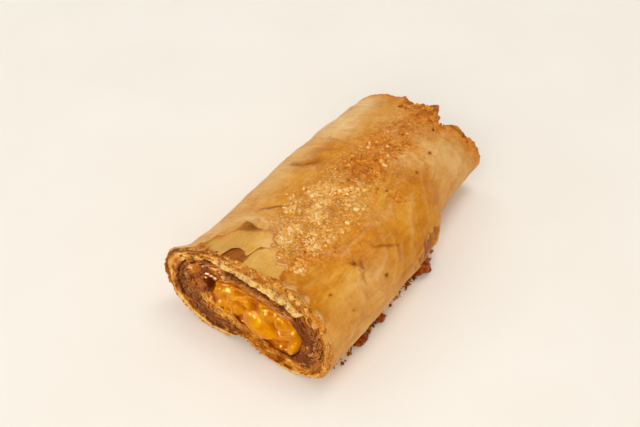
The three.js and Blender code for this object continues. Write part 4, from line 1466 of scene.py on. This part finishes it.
def build_loose_crumbs(material):
    """Burnt crumbs stuck along the foot of the roll on the right."""
    rng = np.random.default_rng(87)
    grains = []
    while len(grains) < LOOSE_CRUMBS:
        y = rng.choice([rng.uniform(*LOOSE_Y)] + [rng.normal(*heap) for heap in LOOSE_HEAPS])
        if noise.noise(Vector((0.0, y / LOOSE_CLUSTER, 8.7))) < rng.uniform(-0.4, 0.3):
            continue
        size = mostly_low(rng, LOOSE_SPREAD)
        foot = skin_point(SYRUP_ANGLE, y)
        out = rng.random() ** 2
        height = size * LOOSE_SETTLED + LOOSE_HEIGHT * rng.random() * (1 - out)
        spot = np.array([foot[0] + LOOSE_OFF + LOOSE_REACH * out, y, height])
        ways = np.array(Euler((0.0, 0.0, rng.uniform(0, 2 * math.pi))).to_matrix())
        marks = {"toasted": 0.3, "cut": 1.0, "tone": rng.uniform(0.0, 0.5)}
        grains.append((spot, ways, size * rng.uniform(*LOOSE_STRETCH, 3), marks))
    return scatter("loose_crumbs", material, crumb_shape(), grains, unevenness=0.3, seed=90)


# Materials
# Inputs 0 to 4 of a MapRange are its value, the low and high it comes from and those it goes to.
# Input 0 of a Mix is its share, and 6 and 7 are the two colours or 2 and 3 the two values that it mixes.


def linear(hex_colour):
    """A colour written as sRGB hex, as the linear values that shaders take."""
    channels = [int(hex_colour[i : i + 2], 16) / 255 for i in (1, 3, 5)]
    return tuple(c / 12.92 if c <= 0.04045 else ((c + 0.055) / 1.055) ** 2.4 for c in channels) + (1.0,)


def per_metre(millimetres):
    """Scale of a pattern whose features are that size."""
    return 1000.0 / millimetres


def add(tree, kind, inputs=(), stops=(), output=0, **settings):
    """Adds one shader node with its settings, ramp stops and inputs, and returns the output asked for."""
    node = tree.nodes.new("ShaderNode" + kind)
    for name, value in settings.items():
        setattr(node, name, value)
    elements = node.color_ramp.elements if stops else ()
    for i, (place, colour) in enumerate(stops):
        element = elements[i] if i < 2 else elements.new(place)
        element.position = place
        element.color = linear(colour)
    for key, value in dict(inputs).items():
        if isinstance(value, bpy.types.NodeSocket):
            tree.links.new(value, node.inputs[key])
        else:
            node.inputs[key].default_value = value
    return node.outputs[output] if node.outputs else node


def start_material(name):
    """An empty material with the place on the piece that its patterns follow."""
    material = bpy.data.materials.new(name)
    material.use_nodes = True
    tree = material.node_tree
    tree.nodes.clear()
    return material, tree, add(tree, "TexCoord", output="Object")


def finish_material(tree, surface):
    """Ends a material with one Principled surface."""
    add(tree, "OutputMaterial", {"Surface": add(tree, "BsdfPrincipled", surface)})


def tinted(tree, colour, pattern, low, high, most, tint):
    """A colour with a tint over it: none where the pattern is low, a share of most where it is high."""
    share = add(tree, "MapRange", {0: pattern, 1: low, 2: high, 3: 0.0, 4: most})
    return add(tree, "Mix", {0: share, 6: colour, 7: linear(tint)}, **COLOUR_MIX)


def golden_ground(tree, place, blotches):
    """Golden bake: lighter and darker blotches, streaks along the folds and flakes of sheet."""
    colour = add(
        tree, "ValToRGB", {0: blotches},
        ((0.3, "#b66200"), (0.43, "#ca7a08"), (0.55, "#d68c1a"), (0.7, "#e2a43a")), name="golden bake",
    )
    streaky = add(tree, "Mapping", {"Vector": place, "Rotation": (0.0, 0.0, 0.35), "Scale": (1.0, 0.25, 1.0)})
    streaks = add(
        tree, "TexNoise", {"Vector": streaky, "Scale": per_metre(2.4), "Detail": 5.0, "Roughness": 0.6},
    )
    colour = tinted(tree, colour, streaks, 0.5, 0.75, 0.55, "#e6b35c")
    colour = tinted(tree, colour, streaks, 0.48, 0.25, 0.5, "#b8660c")
    bend = add(tree, "TexNoise", {"Vector": place, "Scale": per_metre(7), "Detail": 6.0}, output="Color")
    bent = add(tree, "VectorMath", {0: bend, 1: (9 * MM,) * 3, 2: place}, operation="MULTIPLY_ADD")
    flakes = add(tree, "TexVoronoi", {"Vector": bent, "Scale": per_metre(10)}, output="Color")
    colour = tinted(tree, colour, flakes, 0.5, 0.8, 0.24, "#eaae50")
    return tinted(tree, colour, flakes, 0.5, 0.2, 0.2, "#b8690f")


def sugar_and_toast(tree, place, colour):
    """Melted sugar on the crown, and grainy caramel where the skin toasted, over a colour."""
    sugary, toast = (
        add(tree, "Attribute", attribute_name=name, output="Fac") for name in ("sugary", "toasted")
    )
    fine = add(tree, "TexNoise", {"Vector": place, "Scale": per_metre(2.6), "Detail": 7.0, "Roughness": 0.68})
    grains = add(tree, "TexVoronoi", {"Vector": place, "Scale": per_metre(1.3), "Randomness": 1.0})
    melted = add(
        tree, "ValToRGB", {0: grains}, ((0.12, "#f8d29a"), (0.35, "#eaac58"), (0.6, "#d48c34")),
        name="melted sugar",
    )
    clumps = add(tree, "MapRange", {0: fine, 1: 0.36, 2: 0.56})
    sugary = add(tree, "Math", {0: sugary, 1: clumps}, operation="MULTIPLY", use_clamp=True)
    colour = add(tree, "Mix", {0: sugary, 6: colour, 7: melted}, **COLOUR_MIX)
    grainy = add(tree, "Math", {0: grains, 1: 0.35, 2: fine}, operation="MULTIPLY_ADD")
    crust = add(
        tree, "ValToRGB", {0: grainy}, ((0.4, "#eea24a"), (0.58, "#de8626"), (0.8, "#b86212")),
        name="caramel",
    )
    patchy = add(tree, "MapRange", {0: fine, 1: 0.35, 2: 0.65, 3: -0.28, 4: 0.28})
    toasted = add(tree, "Math", {0: toast, 1: patchy}, operation="ADD", use_clamp=True)
    edged = add(tree, "MapRange", {0: toast, 1: 0.0, 2: 0.3})
    toasted = add(tree, "Math", {0: toasted, 1: edged}, operation="MULTIPLY", use_clamp=True)
    return add(tree, "Mix", {0: toasted, 6: colour, 7: crust}, **COLOUR_MIX)


def filo_skin_colour(tree, place, puckers):
    """Golden skin: paler sides, tan where bare, caramel where toasted, painted shade and highlight at laps.
    """
    paler, bare, lap = (
        add(tree, "Attribute", attribute_name=name, output="Fac") for name in ("paler", "bare", "lap")
    )
    blotches = add(
        tree, "TexNoise", {"Vector": place, "Scale": per_metre(14), "Detail": 7.0, "Roughness": 0.66},
    )
    colour = golden_ground(tree, place, blotches)
    striped = add(tree, "Mix", {0: 0.5, 2: blotches, 3: puckers})
    sandy = add(tree, "ValToRGB", {0: striped}, ((0.38, "#dea254"), (0.62, "#f2ca8e")), name="paler skin and sheen")
    # Paler where the second sheet shows through, and on the sides as lighter bake and painted sheen.
    colour = add(tree, "Mix", {0: paler, 6: colour, 7: sandy}, **COLOUR_MIX)
    tan = add(tree, "ValToRGB", {0: blotches}, ((0.35, "#d69c44"), (0.65, "#e8b662")), name="bare sheet")
    colour = add(tree, "Mix", {0: bare, 6: colour, 7: tan}, **COLOUR_MIX)
    colour = sugar_and_toast(tree, place, colour)
    # Pale where the lap mark is above 0: painted highlight beside laps, and pale sheet edges.
    colour = tinted(tree, colour, lap, 0.0, 1.0, 1.0, "#ecc084")
    # Dark brown where it is below 0: painted shadow under laps and the blister, and burn and toast.
    colour = tinted(tree, colour, lap, 0.0, -1.0, 1.0, "#84420a")
    specks = add(tree, "TexVoronoi", {"Vector": place, "Scale": per_metre(4.5), "Randomness": 1.0})
    return tinted(tree, colour, specks, 0.09, 0.05, 0.7, "#8a4a14")


def filo_cut_colour(tree, place):
    """Cut sheets: crisp browns and creams by sheet, wet amber where soaked, mauve where fruit stained them.

    The grit of the crumb is finer than this, and is drawn at 1.1 mm so that it shows.
    """
    grit = add(tree, "TexNoise", {"Vector": place, "Scale": per_metre(1.1), "Detail": 4.0, "Roughness": 0.7})
    spread = add(tree, "MapRange", {0: grit, 1: 0.3, 2: 0.7, 3: -0.22, 4: 0.22})
    # The tone mark holds each sheet's own tone, with painted light at its top edge and painted shade in the
    # gaps.
    tone = add(tree, "Attribute", attribute_name="tone", output="Fac")
    tone = add(tree, "Math", {0: tone, 1: spread}, operation="ADD", use_clamp=True)
    crisp = add(
        tree, "ValToRGB", {0: tone},
        ((0.05, "#6a2e06"), (0.3, "#ac5e14"), (0.55, "#d48422"), (0.75, "#e6a23c"), (0.95, "#f2c874")),
        name="crisp sheets",
    )
    wet = add(
        tree, "ValToRGB", {0: tone},
        ((0.05, "#702c00"), (0.4, "#aa5604"), (0.7, "#cc8016"), (0.95, "#e8b448")), name="wet sheets",
    )
    mauve = add(
        tree, "ValToRGB", {0: tone}, ((0.1, "#6b3210"), (0.6, "#b87038"), (0.95, "#d69a5c")),
        name="mauve sheets",
    )
    soaked, stained = (
        add(tree, "Attribute", attribute_name=name, output="Fac") for name in ("soaked", "stained")
    )
    colour = add(tree, "Mix", {0: soaked, 6: crisp, 7: wet}, **COLOUR_MIX)
    return add(tree, "Mix", {0: stained, 6: colour, 7: mauve}, **COLOUR_MIX)


def filo_roughness(tree, place, cut, soaked, sugary):
    """Satin skin, dry and matt where it is cut, wet where it is soaked, and glossier under sugar."""
    satin = add(tree, "TexNoise", {"Vector": place, "Scale": per_metre(6), "Detail": 4.0})
    rough = add(tree, "MapRange", {0: satin, 1: 0.3, 2: 0.7, 3: 0.46, 4: 0.64})
    for share, value in ((cut, 0.75), (soaked, 0.25), (sugary, 0.36)):
        rough = add(tree, "Mix", {0: share, 2: rough, 3: value})
    return rough


def filo_relief(tree, place, puckers, cut, soaked, sugary):
    """Bumps of the filo: fibres, wrinkles, puckers where it is paler, sharp creases and grains of sugar.

    The fibres of filo are finer than this, and are drawn at 0.9 mm so that they show.
    """
    fibres = add(
        tree, "TexNoise", {"Vector": place, "Scale": per_metre(0.9), "Detail": 5.0, "Roughness": 0.7},
    )
    crisp = add(tree, "MapRange", {0: cut, 1: 0.0, 2: 1.0, 3: 0.18, 4: 0.42})
    drier = add(tree, "MapRange", {0: soaked, 1: 0.0, 2: 1.0, 3: 1.0, 4: 0.3})
    strength = add(tree, "Math", {0: crisp, 1: drier}, operation="MULTIPLY")
    normal = add(tree, "Bump", {"Height": fibres, "Strength": strength, "Distance": 0.5 * MM})
    flow = add(tree, "Mapping", {"Vector": place, "Rotation": (0.0, 0.0, 0.5), "Scale": (1.0, 0.35, 1.0)})
    wrinkles = add(
        tree, "TexNoise", {"Vector": flow, "Scale": per_metre(3.0), "Detail": 5.0, "Distortion": 1.2},
    )
    normal = add(tree, "Bump", {"Height": wrinkles, "Strength": 0.55, "Distance": 0.9 * MM, "Normal": normal})
    paler = add(tree, "Attribute", attribute_name="paler", output="Fac")
    puckered = add(tree, "MapRange", {0: paler, 1: 0.0, 2: 0.6, 3: 0.0, 4: 0.4})
    normal = add(
        tree, "Bump", {"Height": puckers, "Strength": puckered, "Distance": 0.6 * MM, "Normal": normal},
    )
    folds = add(tree, "TexNoise", {"Vector": flow, "Scale": per_metre(7.0), "Detail": 3.0, "Distortion": 1.5})
    off_line = add(tree, "Math", {0: folds, 1: 0.5}, operation="SUBTRACT")
    off_line = add(tree, "Math", {0: off_line}, operation="ABSOLUTE")
    creases = add(tree, "MapRange", {0: off_line, 1: 0.0, 2: 0.03, 3: 1.0, 4: 0.0})
    uncut = add(tree, "MapRange", {0: cut, 1: 0.0, 2: 0.5, 3: 0.45, 4: 0.0})
    normal = add(tree, "Bump", {"Height": creases, "Strength": uncut, "Distance": 0.5 * MM, "Normal": normal})
    grains = add(tree, "TexVoronoi", {"Vector": place, "Scale": per_metre(1.3), "Randomness": 1.0})
    return add(
        tree, "Bump", {"Height": grains, "Strength": sugary, "Distance": 0.8 * MM, "Normal": normal},
        invert=True,
    )


def baked_filo():
    """Butter-brushed filo baked golden: satin skin with a faint sheen, crisp edges and juicy inner sheets."""
    material, tree, place = start_material("baked butter-brushed filo")
    cut, soaked, sugary = (
        add(tree, "Attribute", attribute_name=name, output="Fac") for name in ("cut", "soaked", "sugary")
    )
    round_way = add(tree, "Mapping", {"Vector": place, "Scale": (0.25, 1.0, 0.25)})
    puckers = add(
        tree, "TexNoise", {"Vector": round_way, "Scale": per_metre(2.2), "Detail": 4.0, "Distortion": 1.4},
    )
    skin = filo_skin_colour(tree, place, puckers)
    colour = add(tree, "Mix", {0: cut, 6: skin, 7: filo_cut_colour(tree, place)}, **COLOUR_MIX)
    juicy = add(tree, "MapRange", {0: soaked, 3: 0.0, 4: 0.04})
    finish_material(
        tree,
        {
            "Base Color": colour,
            "Roughness": filo_roughness(tree, place, cut, soaked, sugary),
            "IOR": 1.3,
            "Specular Tint": linear("#ffc070"),
            "Normal": filo_relief(tree, place, puckers, cut, soaked, sugary),
            "Coat Weight": juicy,
            "Coat Roughness": 0.15,
            "Subsurface Weight": 0.08,
            "Subsurface Radius": (2.0, 0.9, 0.3),
            "Subsurface Scale": MM,
            "Sheen Weight": 0.04,
            "Sheen Roughness": 0.4,
            "Sheen Tint": linear("#fff0dc"),
        },
    )
    return material


def glazed_fruit():
    """Cooked stone fruit in set jelly: saturated amber flesh under a wet clear film that sparkles."""
    material, tree, place = start_material("cooked fruit in jelly")
    cloud = add(tree, "TexNoise", {"Vector": place, "Scale": per_metre(4), "Detail": 5.0, "Roughness": 0.6})
    flesh, jelly = (
        add(tree, "ValToRGB", {0: cloud}, stops, name=name)
        for name, stops in (
            ("flesh", ((0.3, "#c47000"), (0.5, "#dc8a00"), (0.72, "#eeac00"))),
            ("jelly", ((0.3, "#984400"), (0.55, "#c26600"), (0.75, "#da8400"))),
        )
    )
    fleshy, gap_shade, smooth = (
        add(tree, "Attribute", attribute_name=name, output="Fac") for name in ("flesh", "gap_shade", "smooth")
    )
    colour = add(tree, "Mix", {0: fleshy, 6: jelly, 7: flesh}, **COLOUR_MIX)
    # Painted shade: near-black brown inside the air gap.
    colour = add(tree, "Mix", {0: gap_shade, 6: colour, 7: linear("#3a1706")}, **COLOUR_MIX)
    ripple = add(
        tree, "TexNoise", {"Vector": place, "Scale": per_metre(1.6), "Detail": 3.0, "Roughness": 0.55},
    )
    strength = add(tree, "MapRange", {0: smooth, 1: 0.0, 2: 1.0, 3: 0.14, 4: 0.03})
    normal = add(tree, "Bump", {"Height": ripple, "Strength": strength, "Distance": 1.0 * MM})
    pulp = add(tree, "TexNoise", {"Vector": place, "Scale": per_metre(0.7), "Detail": 2.0, "Roughness": 0.5})
    juicy = add(tree, "MapRange", {0: smooth, 1: 0.0, 2: 1.0, 3: 0.06, 4: 0.02})
    normal = add(tree, "Bump", {"Height": pulp, "Strength": juicy, "Distance": 0.5 * MM, "Normal": normal})
    finish_material(
        tree,
        {
            "Base Color": colour,
            "Roughness": 0.08,
            "IOR": 1.31,
            "Specular Tint": linear("#ffa010"),
            "Normal": normal,
            "Subsurface Weight": 0.1,
            "Subsurface Radius": (2.0, 0.8, 0.1),
            "Subsurface Scale": MM,
            "Coat Weight": 0.05,
            "Coat Roughness": 0.03,
            "Coat IOR": 1.45,
            "Coat Normal": normal,
        },
    )
    return material


def cake_crumb():
    """Dry sponge crumbs strewn under the top sheets: matt, pale yellow, browned bits, painted shade in holes.
    """
    material, tree, place = start_material("dry sponge crumb")
    grit = add(tree, "TexNoise", {"Vector": place, "Scale": per_metre(1.1), "Detail": 5.0, "Roughness": 0.75})
    lit = add(tree, "MapRange", {0: grit, 1: 0.3, 2: 0.7, 3: -0.35, 4: 0.35})
    coarse = add(tree, "Attribute", attribute_name="coarse", output="Fac")
    # The colour follows the relief: lighter on bumps, darker where the face lies back and in pits, painted
    # light and shade with browned bits.
    level = add(tree, "Math", {0: coarse, 1: lit}, operation="ADD", use_clamp=True)
    colour = add(
        tree, "ValToRGB", {0: level},
        ((0.1, "#a87024"), (0.28, "#e2aa40"), (0.5, "#f2c252"), (0.9, "#f6d276")), name="crumb",
    )
    normal = add(tree, "Bump", {"Height": grit, "Strength": 0.7, "Distance": 0.5 * MM})
    finish_material(tree, {"Base Color": colour, "Roughness": 0.85, "IOR": 1.4, "Normal": normal})
    return material


def sugar_crystal():
    """Coarse cane sugar half melted in the oven: milky, faintly golden, with bright facets."""
    material, tree, place = start_material("coarse cane sugar")
    cloud = add(tree, "TexNoise", {"Vector": place, "Scale": per_metre(2.0), "Detail": 3.0})
    golden = add(tree, "ValToRGB", {0: cloud}, ((0.35, "#e2983c"), (0.65, "#f0b45e")), name="melted crystal")
    pale = add(tree, "Attribute", attribute_name="pale", output="Fac")
    colour = add(tree, "Mix", {0: pale, 6: golden, 7: linear("#fad89c")}, **COLOUR_MIX)
    finish_material(
        tree,
        {
            "Base Color": colour,
            "Roughness": 0.35,
            "IOR": 1.3,
            "Specular Tint": linear("#ffc878"),
            "Subsurface Weight": 0.3,
            "Subsurface Radius": (1.0, 0.7, 0.35),
            "Subsurface Scale": MM,
        },
    )
    return material


def burnt_syrup():
    """Fruit juice boiled out and burnt on: dark red-brown, glassy on the humps."""
    material, tree, place = start_material("burnt fruit syrup")
    cloud = add(
        tree, "TexNoise", {"Vector": place, "Scale": per_metre(1.8), "Detail": 5.0, "Roughness": 0.65},
    )
    colour = add(
        tree, "ValToRGB", {0: cloud}, ((0.3, "#4a1602"), (0.5, "#8e3a0a"), (0.7, "#c0641c")),
        name="burnt juice",
    )
    normal = add(tree, "Bump", {"Height": cloud, "Strength": 0.5, "Distance": 0.6 * MM})
    finish_material(
        tree,
        {
            "Base Color": colour,
            "Roughness": 0.3,
            "IOR": 1.4,
            "Specular Tint": linear("#ffb070"),
            "Normal": normal,
        },
    )
    return material


# Stage


def build_table():
    """Plain pale table top."""
    material, tree, place = start_material("matt white table")
    cloud = add(tree, "TexNoise", {"Vector": place, "Scale": per_metre(60), "Detail": 2.0})
    colour = add(tree, "ValToRGB", {0: cloud}, ((0.3, "#f5ede1"), (0.7, "#f7f0e5")), name="table")
    finish_material(tree, {"Base Color": colour, "Roughness": 0.9, "Specular IOR Level": 0.2})
    bm = bmesh.new()
    bmesh.ops.create_grid(bm, x_segments=1, y_segments=1, size=2.0)
    mesh = bpy.data.meshes.new("table")
    bm.to_mesh(mesh)
    bm.free()
    mesh.materials.append(material)
    floor = bpy.data.objects.new("table", mesh)
    bpy.context.scene.collection.objects.link(floor)


def aim(thing, place, target):
    """Stands a lamp or camera at a place, looking at a target."""
    thing.location = place
    thing.rotation_euler = (Vector(target) - Vector(place)).to_track_quat("-Z", "Y").to_euler()
    bpy.context.scene.collection.objects.link(thing)


def build_lights():
    """Soft light all round, softboxes above, left and in front, and small lamps that glint on what is wet."""
    world = bpy.data.worlds.new("studio")
    world.use_nodes = True
    background = world.node_tree.nodes["Background"]
    background.inputs["Color"].default_value = linear("#fffdf9")
    background.inputs["Strength"].default_value = WORLD_STRENGTH
    bpy.context.scene.world = world
    for name, place, size, energy in LAMPS + GLINTS:
        light = bpy.data.lights.new(name, "AREA")
        light.size = size
        light.energy = energy
        lamp = bpy.data.objects.new(name, light)
        lamp.visible_diffuse = (name, place, size, energy) in LAMPS
        aim(lamp, place, (0, 0, 0))
    bpy.context.scene.view_settings.view_transform = "Standard"


def build_camera():
    """Camera at the photograph's angle."""
    camera = bpy.data.cameras.new("camera")
    camera.lens = CAMERA_LENS
    camera.sensor_width = CAMERA_SENSOR
    camera.clip_start = 0.01
    viewer = bpy.data.objects.new("camera", camera)
    level = math.cos(CAMERA_ELEVATION)
    across = math.sin(CAMERA_AZIMUTH) * level
    forward = -math.cos(CAMERA_AZIMUTH) * level
    back = Vector((across, forward, math.sin(CAMERA_ELEVATION)))
    aim(viewer, CAMERA_TARGET + CAMERA_DISTANCE * back, CAMERA_TARGET)
    bpy.context.scene.camera = viewer


filo = baked_filo()
build_roll(filo)
build_flakes(filo)
build_rim_crumbs(filo)
build_caramel(filo)
build_fruit(glazed_fruit())
build_crumb(cake_crumb())
build_loose_crumbs(filo)
build_sugar(sugar_crystal())
build_syrup(burnt_syrup())
build_table()
build_lights()
build_camera()
